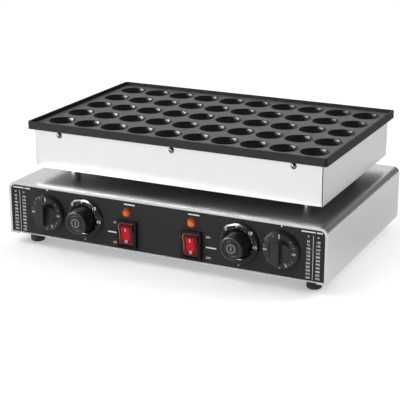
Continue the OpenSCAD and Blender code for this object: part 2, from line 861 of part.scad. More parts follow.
module thermostat(side) {
    drum_r = 16;
    drum_h = 14;
    block_h = 9;
    color(zinc) on_panel(side * dial_x, control_z) difference() {
        union() {
            translate([0, 0, panel_back]) cylinder(r = bushing_r, h = panel_t);
            translate([0, 0, panel_back - 1.5]) rounded_block(44, 26, 1.5, 4);
            translate([0, 0, panel_back - 1.5 - drum_h]) cylinder(r = drum_r, h = drum_h);
            translate([0, 0, panel_back - 1.5 - drum_h - block_h])
                rounded_block(34, 28, block_h, 2);
            spades(18, panel_back - 1.5 - drum_h - block_h);
        }
        translate([0, 0, panel_back - shaft_in]) cylinder(r = shaft_r + running, h = shaft_in + 3);
        for (x = [-1, 1]) translate([x * screw_pitch / 2, 0, panel_back - 4.5])
            cylinder(r = tap_r, h = 5);
    }
}

module shaft(x, front) {
    color(bright_steel) on_panel(x, control_z) {
        translate([0, 0, panel_back - shaft_in + 0.5])
            cylinder(r = shaft_r, h = shaft_in - 0.5 - panel_back + turning_gap);
        translate([0, 0, turning_gap]) flatted(shaft_r, front - turning_gap);
    }
}

// Disc with a sloped edge, and a boss scooped out at both sides to leave a bar to grip
module thermostat_dial(side) {
    slope = 3;
    rim = 2.5;
    pointer_w = 1.2;
    pointer_d = 0.6;
    scoop_d = dial_grip_h - dial_h;
    side_w = dial_grip_r - dial_grip_w / 2;
    scoop_r = max(scoop_d, (pow(side_w, 2) + pow(scoop_d, 2)) / (2 * side_w));
    color(black_plastic) on_panel(side * dial_x, control_z) difference() {
        union() {
            rotate_extrude($fn = 96)
                polygon([[0, turning_gap], [dial_r, turning_gap], [dial_r, turning_gap + rim],
                         [dial_r - slope, dial_h], [0, dial_h]]);
            difference() {
                translate([0, 0, dial_h - cut])
                    cylinder(r = dial_grip_r, h = scoop_d + cut, $fn = 96);
                for (x = [-1, 1]) {
                    translate([x * (dial_grip_w / 2 + scoop_r), 0, dial_grip_h])
                        rotate([90, 0, 0])
                            cylinder(r = scoop_r, h = 2 * dial_r, center = true, $fn = 96);
                    translate([x * (dial_grip_w / 2 + scoop_r + dial_r), 0, dial_grip_h])
                        cube([2 * dial_r, 2 * dial_r, 2 * scoop_d], center = true);
                }
            }
        }
        translate([-pointer_w / 2, dial_grip_r / 3, dial_grip_h - pointer_d])
            cube([pointer_w, dial_grip_r, pointer_d + cut]);
        translate([0, 0, turning_gap - cut]) flatted(shaft_r + 0.03, shaft_hub + dial_h + cut);
    }
}

module timer(side) {
    case_h = 20;
    bell_h = 6;
    color(zinc) on_panel(side * timer_x, control_z) difference() {
        union() {
            translate([0, 0, panel_back]) cylinder(r = bushing_r, h = panel_t);
            translate([0, 0, panel_back - case_h]) rounded_block(48, 48, case_h, 4);
            translate([0, 0, panel_back - case_h - bell_h]) cylinder(r = 19, h = bell_h);
            spades(34, panel_back - case_h);
        }
        translate([0, 0, panel_back - shaft_in]) cylinder(r = shaft_r + running, h = shaft_in + 3);
        for (x = [-1, 1]) translate([x * screw_pitch / 2, 0, panel_back - 4.5])
            cylinder(r = tap_r, h = 5);
    }
}

// Glossy ring round a timer knob, with a domed face
module timer_bezel(side) {
    hole = knob_r + turning_gap;
    crown = (hole + bezel_r) / 2 - 0.8;
    curve = 7;
    color(black_plastic) on_panel(side * timer_x, control_z) rotate_extrude($fn = 96)
        intersection() {
            translate([hole, 0]) square([bezel_r - hole, bezel_h]);
            translate([crown, bezel_h - curve]) circle(curve, $fn = 96);
        }
}

module timer_knob(side) {
    edge = 2.5;
    groove_r = 11;
    inner_ring_r = 6.5;
    color(black_plastic) on_panel(side * timer_x, control_z) difference() {
        rotate_extrude($fn = 96) difference() {
            union() {
                polygon([[0, turning_gap], [knob_r, turning_gap], [knob_r, turning_gap + 2],
                         [knob_front_r, knob_h - edge], [0, knob_h - edge]]);
                square([knob_front_r - edge, knob_h]);
                translate([knob_front_r - edge, knob_h - edge]) circle(edge);
            }
            translate([0, -cut]) square([knob_r + cut, turning_gap + cut]);
            translate([groove_r, knob_h]) circle(1.1);
            translate([inner_ring_r - 1.2, knob_h - 0.5]) square([1.2, 1]);
            translate([0, knob_h - 0.5]) square([inner_ring_r - 2.8, 1]);
        }
        translate([0, 0, turning_gap - cut]) flatted(shaft_r + 0.03, knob_hub + cut);
    }
}

module lamp_body(side) {
    barrel_l = 20;
    color(black_plastic) on_panel(side * switch_x, lamp_z) difference() {
        union() {
            translate([0, 0, -barrel_l]) cylinder(r = lamp_thread_r, h = barrel_l);
            translate([0, 0, panel_back - 3]) cylinder(r = 8, h = 3, $fn = 6);
            spades(5, -barrel_l);
        }
        translate([0, 0, -7]) cylinder(r = lamp_spigot_r + slip, h = 8);
    }
}

module lamp_lens(side) {
    rim = 2;
    dome = lamp_r - 1;
    dome_h = lamp_h - rim;
    dome_r = (pow(dome, 2) + pow(dome_h, 2)) / (2 * dome_h);
    color(amber_plastic) on_panel(side * switch_x, lamp_z) {
        cylinder(r = lamp_r, h = rim);
        translate([0, 0, -6]) cylinder(r = lamp_spigot_r, h = 6 + cut);
        rotate_extrude($fn = 96) intersection() {
            translate([0, lamp_h - dome_r]) circle(dome_r, $fn = 96);
            square([dome, lamp_h]);
        }
    }
}

// A rocker swings in this well between its two side walls
well_w = rocker_w + 2 * rocker_gap;
well_h = 2 * (rocker_r + rocker_gap);
well_floor = -pivot_in - rocker_back - rocker_r * sin(rocker_swing / 2) - 1;
switch_body_w = well_w + 2 * switch_wall;
switch_body_h = well_h + 2 * 1.2;

module switch(side) {
    color(black_plastic) on_panel(side * switch_x, switch_z) difference() {
        union() {
            rounded_block(switch_w, switch_h, switch_rim, 1.5);
            translate([0, 0, -switch_depth])
                linear_extrude(switch_depth + cut) square([switch_body_w, switch_body_h], center = true);
            for (y = [-1, 1]) translate([0, y * 9, 0]) spades(12, -switch_depth);
        }
        translate([0, 0, well_floor])
            linear_extrude(switch_rim - well_floor + cut) square([well_w, well_h], center = true);
        translate([0, 0, -pivot_in]) rotate([0, 90, 0])
            cylinder(r = pivot_r + running, h = switch_body_w + 2 * cut, center = true);
    }
}

// Two flat faces that meet in a shallow valley, and ends that are round about the pivot
module rocker_section() {
    middle = pivot_in + switch_rim;
    rise = tan(rocker_swing / 2);
    difference() {
        circle(rocker_r, $fn = 96);
        translate([-rocker_r - cut, -rocker_r - cut])
            square([rocker_r + cut - rocker_back, 2 * (rocker_r + cut)]);
        polygon([[middle, 0], [middle + 30 * rise, 30], [2 * rocker_r + 30 * rise, 30],
                 [2 * rocker_r + 30 * rise, -30], [middle + 30 * rise, -30]]);
    }
}

module rocker(side) {
    color(red_plastic) on_panel(side * switch_x, switch_z) translate([0, 0, -pivot_in])
        rotate([rocker_swing / 2, 0, 0]) {
            translate([-rocker_w / 2, 0, 0]) rotate([0, -90, 0]) mirror([0, 0, 1])
                linear_extrude(rocker_w) rocker_section();
            rotate([0, 90, 0])
                cylinder(r = pivot_r, h = rocker_w + 2 * rocker_gap + 2 * switch_wall - 0.6, center = true);
        }
}

baking_plate();
heating_element(left);  // heating_element_left
heating_element(right);  // heating_element_right
element_clamps();
clamp_screws();
insulation_pad();
upper_box();
rim_screws();
support_posts();
post_bolts();
post_nuts();
cable_tube();
cable_tube_nuts();
base_shell();
front_panel();
panel_overlay();
panel_screws();
rear_panel();
rear_screws();
bottom_plate();
bottom_screws();
feet();
foot_screws();
foot_nuts();
cable_gland();
gland_nut();
terminal_block();
thermostat(left);  // thermostat_left
thermostat(right);  // thermostat_right
thermostat_dial(left);  // thermostat_dial_left
thermostat_dial(right);  // thermostat_dial_right
shaft(left * dial_x, dial_h + shaft_hub);  // thermostat_shaft_left
shaft(right * dial_x, dial_h + shaft_hub);  // thermostat_shaft_right
timer(left);  // timer_left
timer(right);  // timer_right
timer_bezel(left);  // timer_bezel_left
timer_bezel(right);  // timer_bezel_right
timer_knob(left);  // timer_knob_left
timer_knob(right);  // timer_knob_right
shaft(left * timer_x, knob_hub);  // timer_shaft_left
shaft(right * timer_x, knob_hub);  // timer_shaft_right
lamp_body(left);  // lamp_body_left
lamp_body(right);  // lamp_body_right
lamp_lens(left);  // lamp_lens_left
lamp_lens(right);  // lamp_lens_right
switch(left);  // switch_left
switch(right);  // switch_right
rocker(left);  // rocker_left
rocker(right);  // rocker_right
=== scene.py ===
"""Looks of a countertop poffertjes maker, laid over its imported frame.

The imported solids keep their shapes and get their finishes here. The marks
printed on the panel, dials and rings, the cut lenses of the pilot lamps and the
inlays of the timer knobs are modelled on top of them. Sizes are written in
millimetres and become metres through MM. Only the studio's camera, floor and
lamps are placed in metres.
"""

import logging
import math
from dataclasses import dataclass
from enum import Enum
from typing import Any, Callable, ClassVar, Iterable, Sequence

import bmesh
import bpy
from mathutils import Matrix, Vector


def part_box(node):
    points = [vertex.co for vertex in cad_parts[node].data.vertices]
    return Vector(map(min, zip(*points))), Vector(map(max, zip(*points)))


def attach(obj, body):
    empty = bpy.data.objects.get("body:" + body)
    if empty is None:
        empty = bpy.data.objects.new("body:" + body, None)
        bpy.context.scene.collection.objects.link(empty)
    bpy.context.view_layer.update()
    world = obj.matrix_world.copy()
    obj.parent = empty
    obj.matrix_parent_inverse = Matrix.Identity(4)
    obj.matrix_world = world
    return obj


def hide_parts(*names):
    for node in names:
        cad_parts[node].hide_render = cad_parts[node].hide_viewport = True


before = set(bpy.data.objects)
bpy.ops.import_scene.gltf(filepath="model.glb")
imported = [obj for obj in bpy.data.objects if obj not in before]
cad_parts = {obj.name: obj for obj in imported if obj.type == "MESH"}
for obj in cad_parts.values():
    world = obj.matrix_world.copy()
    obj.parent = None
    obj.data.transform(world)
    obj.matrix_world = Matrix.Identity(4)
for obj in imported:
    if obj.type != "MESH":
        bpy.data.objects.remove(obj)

MM = 0.001
LOG = logging.getLogger("poffertjes_maker")
ROOT_BODY = "body"
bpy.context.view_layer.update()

Colour = tuple[float, float, float]
# The ends of a range, a left and a right place, or the edge of a mask and its softness.
Pair = tuple[float, float]
# A place, a factor on each axis, or the width, height and corner radius of a bar.
Triple = tuple[float, float, float]

BLACK: Colour = (0.0, 0.0, 0.0)
WHITE: Colour = (1.0, 1.0, 1.0)


class Side(Enum):
    """The two halves of the control panel, left one first."""

    LEFT = "left"
    RIGHT = "right"

    def node(self, stem: str) -> str:
        """Name of this half's node or body whose name starts with stem."""
        return f"{stem}_{self.value}"


class Grain(Enum):
    """Which way the brushing on a sheet runs, as the factors that draw it out."""

    ALONG_X = (0.02, 1.0, 0.02)
    UPRIGHT = (1.0, 1.0, 0.02)


class Element(Enum):
    """What edit mode selects, as bmesh's name for all of them."""

    VERT = "verts"
    FACE = "faces"


class Align(Enum):
    """Where characters stand on the origin."""

    LEFT = "LEFT"
    CENTER = "CENTER"
    RIGHT = "RIGHT"


def shade(colour: Colour, factor: float) -> Colour:
    """A colour made darker or lighter by a factor."""
    return tuple(part * factor for part in colour)


# Shader maths


class Value:
    """A shader socket or a number, on which Python's operators write Math nodes."""

    def __init__(self, tree: "Tree", source: Any) -> None:
        """Wraps a socket, or a plain number, for the tree that its Math nodes go into."""
        self.tree = tree
        self.source = source

    def math(self, operation: str, *operands: Any) -> "Value":
        """Writes one Math node, with the operands as its inputs in order, and gives its result."""
        node = self.tree.node("ShaderNodeMath", {"operation": operation}, dict(enumerate(operands)))
        return Value(self.tree, node.outputs[0])

    def __add__(self, other: Any) -> "Value":
        """self + other."""
        return self.math("ADD", self, other)

    __radd__ = __add__

    def __sub__(self, other: Any) -> "Value":
        """self - other."""
        return self.math("SUBTRACT", self, other)

    def __rsub__(self, other: Any) -> "Value":
        """other - self."""
        return self.math("SUBTRACT", other, self)

    def __mul__(self, other: Any) -> "Value":
        """self * other."""
        return self.math("MULTIPLY", self, other)

    __rmul__ = __mul__

    def __abs__(self) -> "Value":
        """Size of self without its sign."""
        return self.math("ABSOLUTE", self)

    def hypot(self, other: "Value") -> "Value":
        """Length of the vector (self, other)."""
        return self.math("SQRT", self * self + other * other)

    def above(self, edge: float, soft: float) -> "Value":
        """Rises smoothly from 0 to 1 as self passes edge.

        Args:
            edge: the value at which the result is one half.
            soft: width of the slope.

        Returns:
            The mask.
        """
        node = self.tree.node(
            "ShaderNodeMapRange",
            {"interpolation_type": "SMOOTHSTEP"},
            {"Value": self, "From Min": edge - soft / 2, "From Max": edge + soft / 2},
        )
        return Value(self.tree, node.outputs["Result"])

    def below(self, edge: float, soft: float) -> "Value":
        """Falls smoothly from 1 to 0 as self passes edge."""
        return 1 - self.above(edge, soft)

    def between(self, low: float, high: float) -> "Value":
        """Maps a pattern that runs from 0 to 1 to the range low to high."""
        return self * (high - low) + low


class Tree:
    """A node tree that nodes are written into."""

    def __init__(self, tree: bpy.types.NodeTree) -> None:
        """Takes the tree of a material or of the world."""
        self.tree = tree

    def node(
        self, kind: str, settings: dict[str, Any] | None = None, inputs: dict[Any, Any] | None = None
    ) -> bpy.types.Node:
        """Adds a node, sets it up and feeds it.

        Args:
            kind: Blender's type name of the node.
            settings: properties that are set first, such as an operation.
            inputs: socket name or number to a value, a socket or a Value.

        Returns:
            The new node.
        """
        node = self.tree.nodes.new(kind)
        for key, setting in (settings or {}).items():
            setattr(node, key, setting)
        for key, given in (inputs or {}).items():
            self.feed(node.inputs[key], given)
        return node

    def feed(self, socket: bpy.types.NodeSocket, given: Any) -> None:
        """Links something to a socket, or sets the socket to it.

        Args:
            socket: the input that is fed.
            given: a Value, a socket, a number, a colour or a vector.
        """
        source = given.source if isinstance(given, Value) else given
        if isinstance(source, bpy.types.NodeSocket):
            self.tree.links.new(source, socket)
        elif isinstance(source, tuple) and len(source) == 3 and len(socket.default_value) == 4:
            socket.default_value = (*source, 1)
        else:
            socket.default_value = source

    def found(self, kind: str) -> bpy.types.Node:
        """The tree's own node of a type, such as its output."""
        return next(node for node in self.tree.nodes if node.type == kind)

    def axes(self, vector: bpy.types.NodeSocket) -> list[Value]:
        """The three parts of a vector."""
        split = self.node("ShaderNodeSeparateXYZ", inputs={"Vector": vector})
        return [Value(self, output) for output in split.outputs]

    def rays(self) -> list[Value]:
        """Whether a ray is the camera's own, is mirrored by a surface, or has passed through one."""
        path = self.node("ShaderNodeLightPath")
        return [Value(self, path.outputs[f"Is {kind} Ray"]) for kind in ("Camera", "Glossy", "Transmission")]


class Recipe(Tree):
    """The node tree of one material, with the fields that its finish reads."""

    def __init__(self, name: str) -> None:
        """Starts a material around Blender's principled shader.

        Args:
            name: the material's name.
        """
        self.material = bpy.data.materials.new(name)
        self.material.use_nodes = True
        super().__init__(self.material.node_tree)
        self.shader = self.found("BSDF_PRINCIPLED")
        self.place = self.node("ShaderNodeTexCoord").outputs["Object"]
        self.x, self.y, self.z = (part * (1 / MM) for part in self.axes(self.place))

    def surface(self, **sockets: Any) -> None:
        """Sets the shader's sockets.

        Args:
            sockets: what feeds each, where base_color stands for Base Color, and so on.
        """
        for key, given in sockets.items():
            name = key.replace("_", " ").title().replace("Ior", "IOR")
            self.feed(self.shader.inputs[name], given)

    def noise(
        self, size: float, detail: float = 3.0, stretch: Triple = (1.0, 1.0, 1.0), sharp: float = 0.5
    ) -> Value:
        """Cloudy pattern from 0 to 1.

        Args:
            size: width of one cloud in millimetres.
            detail: how many finer layers it has.
            stretch: factor on each axis; less than 1 draws the pattern out.
            sharp: how strong the finer layers are.

        Returns:
            The pattern.
        """
        scaled = self.node(
            "ShaderNodeMapping", {"vector_type": "POINT"}, {"Vector": self.place, "Scale": stretch}
        )
        node = self.node(
            "ShaderNodeTexNoise",
            {"noise_dimensions": "3D"},
            {"Vector": scaled.outputs[0], "Scale": 1 / (size * MM), "Detail": detail, "Roughness": sharp},
        )
        return Value(self, node.outputs["Fac"])

    def cells(self, size: float) -> Value:
        """Pattern of grains, as the distance to the nearest of many scattered points.

        Args:
            size: width of one grain in millimetres.

        Returns:
            The pattern.
        """
        node = self.node(
            "ShaderNodeTexVoronoi", {"feature": "F1"}, {"Vector": self.place, "Scale": 1 / (size * MM)}
        )
        return Value(self, node.outputs["Distance"])

    def mix(self, factor: Any, first: Any, second: Any) -> bpy.types.NodeSocket:
        """Colour from first to second as factor goes from 0 to 1; 6, 7 and 2 are the node's colours."""
        node = self.node("ShaderNodeMix", {"data_type": "RGBA"}, {0: factor, 6: first, 7: second})
        return node.outputs[2]

    def facing(self) -> list[Value]:
        """The surface's normal, axis by axis."""
        return self.axes(self.node("ShaderNodeNewGeometry").outputs["True Normal"])

    def bump(self, height: Value, depth: float, strength: float = 1.0) -> None:
        """Raises the surface by a pattern.

        Args:
            height: the pattern.
            depth: millimetres from its 0 to its 1.
            strength: how much of the tilt is kept.
        """
        node = self.node(
            "ShaderNodeBump", None, {"Height": height, "Distance": depth * MM, "Strength": strength}
        )
        self.feed(self.shader.inputs["Normal"], node.outputs["Normal"])


# Finishes


@dataclass(frozen=True)
class Finish:
    """A finish that can be laid on any piece."""

    name: str
    written: ClassVar[dict[str, bpy.types.Material]] = {}

    def write(self, recipe: Recipe) -> None:
        """Writes the finish's nodes into a recipe."""
        raise NotImplementedError

    def material(self) -> bpy.types.Material:
        """Writes the finish's material once, for all its pieces.

        Returns:
            The material.
        """
        if self.name not in self.written:
            recipe = Recipe(self.name)
            self.write(recipe)
            self.written[self.name] = recipe.material
        return self.written[self.name]

    def lay_on(self, piece: bpy.types.Object) -> None:
        """Gives every material slot of a piece this finish.

        Args:
            piece: a mesh, which gets a slot if it has none.
        """
        if not piece.material_slots:
            piece.data.materials.append(None)
        for slot in piece.material_slots:
            slot.material = self.material()


@dataclass(frozen=True)
class CastCoating(Finish):
    """Non-stick coating on the casting: satin on the deck, glossy in the pits, dull outside. The deck's
    paler grey is a painted sheen.
    """

    # The deck's paler colour is a painted sheen; the coating's own colour is the near black of the pits and
    # the skirt.
    deck: Colour = (0.066, 0.066, 0.067)
    pit: Colour = (0.003, 0.003, 0.0035)
    skirt: Colour = (0.0035, 0.0035, 0.0038)
    deck_z: float = 179.5
    deck_band: float = 0.12
    deck_up: Pair = (0.97, 0.04)
    pit_soft: float = 0.16
    pit_up: Pair = (0.05, 0.1)
    dull: Pair = (0.60, 0.68)
    deck_gloss: float = 0.16
    pit_gloss: float = 0.44
    patch_size: float = 60.0
    peel_size: float = 1.6
    peel_depth: float = 0.012

    def write(self, recipe: Recipe) -> None:
        """Tells the deck, the pits and the outside apart by height and facing, and paints the deck paler as
        a sheen.

        Args:
            recipe: the material's tree.
        """
        _, _, up = recipe.facing()
        level = abs(recipe.z - self.deck_z).below(self.deck_band, self.deck_band)
        flat = level * up.above(*self.deck_up)
        hollow = recipe.z.below(self.deck_z - self.deck_band, self.pit_soft) * up.above(*self.pit_up)
        patches = recipe.noise(self.patch_size)
        colour = recipe.mix(hollow, self.skirt, self.pit)
        recipe.surface(
            # The upward-facing deck gets a paler colour here: a painted sheen.
            base_color=recipe.mix(flat * patches.between(0.8, 1.0), colour, self.deck),
            roughness=patches.between(*self.dull) - flat * self.deck_gloss - hollow * self.pit_gloss,
            specular_ior_level=0.3,
        )
        recipe.bump(recipe.noise(self.peel_size), self.peel_depth)


@dataclass(frozen=True)
class BrushedSteel(Finish):
    """Stainless sheet brushed one way, with faint smears where it is wiped."""

    colour: Colour = (0.60, 0.60, 0.605)
    grain: Grain = Grain.ALONG_X
    roughness: float = 0.23
    fine_size: float = 0.6
    broad_size: float = 6.0
    smear_size: float = 70.0
    smear: float = 0.015
    depth: float = 0.003

    def write(self, recipe: Recipe) -> None:
        """Draws long scratches that change the gloss and the slope a little.

        Args:
            recipe: the material's tree.
        """
        fine = recipe.noise(self.fine_size, detail=2, stretch=self.grain.value)
        broad = recipe.noise(self.broad_size, detail=2, stretch=self.grain.value)
        streaks = fine * 0.6 + broad * 0.4
        gloss = streaks.between(self.roughness - 0.03, self.roughness + 0.04)
        recipe.surface(
            base_color=recipe.mix(streaks, shade(self.colour, 0.94), self.colour),
            metallic=1.0,
            roughness=gloss + recipe.noise(self.smear_size, detail=2).between(-self.smear, self.smear),
        )
        recipe.bump(streaks, self.depth, strength=0.5)


@dataclass(frozen=True)
class BoxSteel(BrushedSteel):
    """The heater box's sheet, with painted shade on its underside and in its corner seams."""

    floor: Pair = (115.1, 0.4)
    floor_up: Pair = (-0.5, 0.2)
    # Colour of the painted shade on the box's underside; it is no heat scale.
    scale: Colour = (0.30, 0.295, 0.285)
    scale_dull: float = 0.25
    seam_x: float = 228.2
    seam_band: Pair = (0.5, 0.3)
    seam_ahead: Pair = (0.2, 0.2)
    # Colour of the painted shade in the corner seams.
    seam: Colour = (0.10, 0.10, 0.10)

    def write(self, recipe: Recipe) -> None:
        """Adds painted shade under the box and in the seams at its corners to the brushing.

        Args:
            recipe: the material's tree.
        """
        super().write(recipe)
        _, ahead, up = recipe.facing()
        # under marks the box's underside, which is painted dark as shade.
        under = up.below(*self.floor_up) * recipe.z.below(*self.floor)
        # A thin band beside each corner, painted dark as the shade of the seam's gap.
        seam = abs(abs(recipe.x) - self.seam_x).below(*self.seam_band) * abs(ahead).above(*self.seam_ahead)
        brushed = recipe.shader.inputs["Base Color"].links[0].from_socket
        rough = Value(recipe, recipe.shader.inputs["Roughness"].links[0].from_socket)
        recipe.surface(
            base_color=recipe.mix(seam, recipe.mix(under, brushed, self.scale), self.seam),
            metallic=1 - under,
            roughness=rough + under * self.scale_dull,
        )


@dataclass(frozen=True)
class PolishedSteel(Finish):
    """Turned or polished stainless steel."""

    colour: Colour = (0.75, 0.75, 0.76)
    roughness: float = 0.10
    haze: float = 0.12
    haze_size: float = 8.0
    ring_size: float = 0.35
    ring_gloss: float = 0.03
    depth: float = 0.003

    def write(self, recipe: Recipe) -> None:
        """Adds fine turning rings and a little haze.

        Args:
            recipe: the material's tree.
        """
        rings = recipe.noise(self.ring_size, detail=2, stretch=(0.3, 0.3, 1.0))
        haze = recipe.noise(self.haze_size)
        gloss = haze.between(self.roughness, self.roughness + self.haze)
        recipe.surface(
            base_color=recipe.mix(haze, shade(self.colour, 0.93), self.colour),
            metallic=1.0,
            roughness=gloss + rings.between(-self.ring_gloss, self.ring_gloss),
        )
        recipe.bump(rings, self.depth, strength=0.5)


@dataclass(frozen=True)
class ZincPlate(Finish):
    """Zinc-plated steel with its mottled spangle."""

    colour: Colour = (0.52, 0.54, 0.56)
    gloss: Pair = (0.30, 0.46)
    spangle_size: float = 3.5
    cloud_size: float = 12.0
    depth: float = 0.01

    def write(self, recipe: Recipe) -> None:
        """Mottles the gloss and the shade in grains.

        Args:
            recipe: the material's tree.
        """
        spangle = recipe.cells(self.spangle_size)
        cloud = recipe.noise(self.cloud_size)
        recipe.surface(
            base_color=recipe.mix(spangle * 0.6 + cloud * 0.4, shade(self.colour, 0.82), self.colour),
            metallic=1.0,
            roughness=spangle.between(*self.gloss),
        )
        recipe.bump(cloud, self.depth, strength=0.5)


@dataclass(frozen=True)
class HeatedSheath(Finish):
    """Steel tube of a heating element, browned by its own heat."""

    cool: Colour = (0.24, 0.24, 0.25)
    hot: Colour = (0.13, 0.10, 0.085)
    gloss: Pair = (0.42, 0.60)
    patch_size: float = 28.0
    grit_size: float = 0.8
    depth: float = 0.02

    def write(self, recipe: Recipe) -> None:
        """Blends from grey to brown in long patches.

        Args:
            recipe: the material's tree.
        """
        patches = recipe.noise(self.patch_size, stretch=(0.5, 1.0, 1.0))
        grit = recipe.noise(self.grit_size, detail=2)
        recipe.surface(
            base_color=recipe.mix(patches, self.cool, self.hot),
            metallic=0.85,
            roughness=grit.between(*self.gloss),
        )
        recipe.bump(grit, self.depth, strength=0.6)


@dataclass(frozen=True)
class Plastic(Finish):
    """Moulded plastic with a fine grain."""

    colour: Colour
    roughness: float
    depth: float
    specular: float
    grain_size: float = 0.7
    cloud_size: float = 14.0

    def write(self, recipe: Recipe) -> None:
        """Adds the mould's grain and a slight unevenness of shade and gloss.

        Args:
            recipe: the material's tree.
        """
        uneven = recipe.noise(self.cloud_size)
        pale = tuple(part * 1.25 + 0.001 for part in self.colour)
        recipe.surface(
            base_color=recipe.mix(uneven, self.colour, pale),
            roughness=uneven.between(self.roughness - 0.04, self.roughness + 0.05),
            specular_ior_level=self.specular,
        )
        recipe.bump(recipe.cells(self.grain_size), self.depth, strength=0.5)


@dataclass(frozen=True)
class Lacquer(Finish):
    """Hard glossy black surface with a faint ripple."""

    colour: Colour = (0.0015, 0.0015, 0.0017)
    gloss: Pair = (0.15, 0.23)
    ripple_size: float = 9.0
    wipe_size: float = 3.0
    depth: float = 0.02

    def write(self, recipe: Recipe) -> None:
        """Adds a long soft ripple and wipe marks.

        Args:
            recipe: the material's tree.
        """
        wipe = recipe.noise(self.wipe_size, stretch=(0.4, 1.0, 0.4))
        recipe.surface(
            base_color=recipe.mix(wipe, self.colour, shade(self.colour, 1.6)),
            roughness=wipe.between(*self.gloss),
            specular_ior_level=0.25,
        )
        recipe.bump(recipe.noise(self.ripple_size, detail=1), self.depth, strength=0.3)


@dataclass(frozen=True)
class PrintedSheet(Finish):
    """Black printed face of the control panel, satin with a fine orange-peel texture."""

    colour: Colour = (0.0085, 0.0087, 0.0092)
    gloss: Pair = (0.46, 0.54)
    peel_size: float = 0.6
    wipe_size: float = 30.0
    depth: float = 0.008

    def write(self, recipe: Recipe) -> None:
        """Adds the sheet's texture and a few wiped streaks.

        Args:
            recipe: the material's tree.
        """
        wiped = recipe.noise(self.wipe_size, stretch=(0.4, 1.0, 1.0))
        recipe.surface(
            base_color=recipe.mix(wiped, self.colour, shade(self.colour, 1.2)),
            roughness=wiped.between(*self.gloss),
            specular_ior_level=0.2,
        )
        recipe.bump(recipe.noise(self.peel_size, detail=2), self.depth, strength=0.5)


@dataclass(frozen=True)
class Ink(Finish):
    """Screen print, a little thin in places."""

    colour: Colour = (0.78, 0.78, 0.77)
    gloss: Pair = (0.45, 0.60)
    cover_size: float = 1.2
    depth: float = 0.01

    def write(self, recipe: Recipe) -> None:
        """Lets the print vary slightly in cover.

        Args:
            recipe: the material's tree.
        """
        cover = recipe.noise(self.cover_size, detail=2)
        recipe.surface(
            base_color=recipe.mix(cover, shade(self.colour, 0.86), self.colour),
            roughness=cover.between(*self.gloss),
        )
        recipe.bump(cover, self.depth, strength=0.4)


@dataclass(frozen=True)
class Rubber(Finish):
    """Black rubber with a little dust."""

    colour: Colour = (0.013, 0.013, 0.013)
    dusty: Colour = (0.045, 0.044, 0.042)
    cover: Pair = (0.6, 0.3)
    gloss: Pair = (0.62, 0.85)
    dust_size: float = 2.5
    depth: float = 0.05

    def write(self, recipe: Recipe) -> None:
        """Dusts the rubber and roughens it.

        Args:
            recipe: the material's tree.
        """
        dust = recipe.noise(self.dust_size, detail=4, sharp=0.65)
        recipe.surface(
            base_color=recipe.mix(dust.above(*self.cover), self.colour, self.dusty),
            roughness=dust.between(*self.gloss),
            specular_ior_level=0.35,
        )
        recipe.bump(dust, self.depth, strength=0.5)


@dataclass(frozen=True)
class MineralWool(Finish):
    """Pressed fibres of an insulation pad."""

    colour: Colour = (0.50, 0.45, 0.30)
    gloss: Pair = (0.85, 1.0)
    fibre_size: float = 1.2
    directions: tuple[Triple, Triple] = ((0.15, 1.0, 1.0), (1.0, 0.15, 1.0))
    depth: float = 0.8

    def write(self, recipe: Recipe) -> None:
        """Lays fibres across each other in two directions.

        Args:
            recipe: the material's tree.
        """
        along, across = (
            recipe.noise(self.fibre_size, detail=4, stretch=way, sharp=0.7) * 0.5 for way in self.directions
        )
        fibres = along + across
        recipe.surface(
            base_color=recipe.mix(fibres, shade(self.colour, 0.55), self.colour),
            roughness=fibres.between(*self.gloss),
            specular_ior_level=0.2,
        )
        recipe.bump(fibres, self.depth)


@dataclass(frozen=True)
class Porcelain(Finish):
    """Pale steatite of a terminal block."""

    colour: Colour = (0.72, 0.69, 0.62)
    gloss: Pair = (0.35, 0.55)
    speck_size: float = 1.0
    depth: float = 0.02

    def write(self, recipe: Recipe) -> None:
        """Speckles the ceramic.

        Args:
            recipe: the material's tree.
        """
        speck = recipe.noise(self.speck_size)
        recipe.surface(
            base_color=recipe.mix(speck, shade(self.colour, 0.88), self.colour),
            roughness=speck.between(*self.gloss),
        )
        recipe.bump(speck, self.depth, strength=0.5)


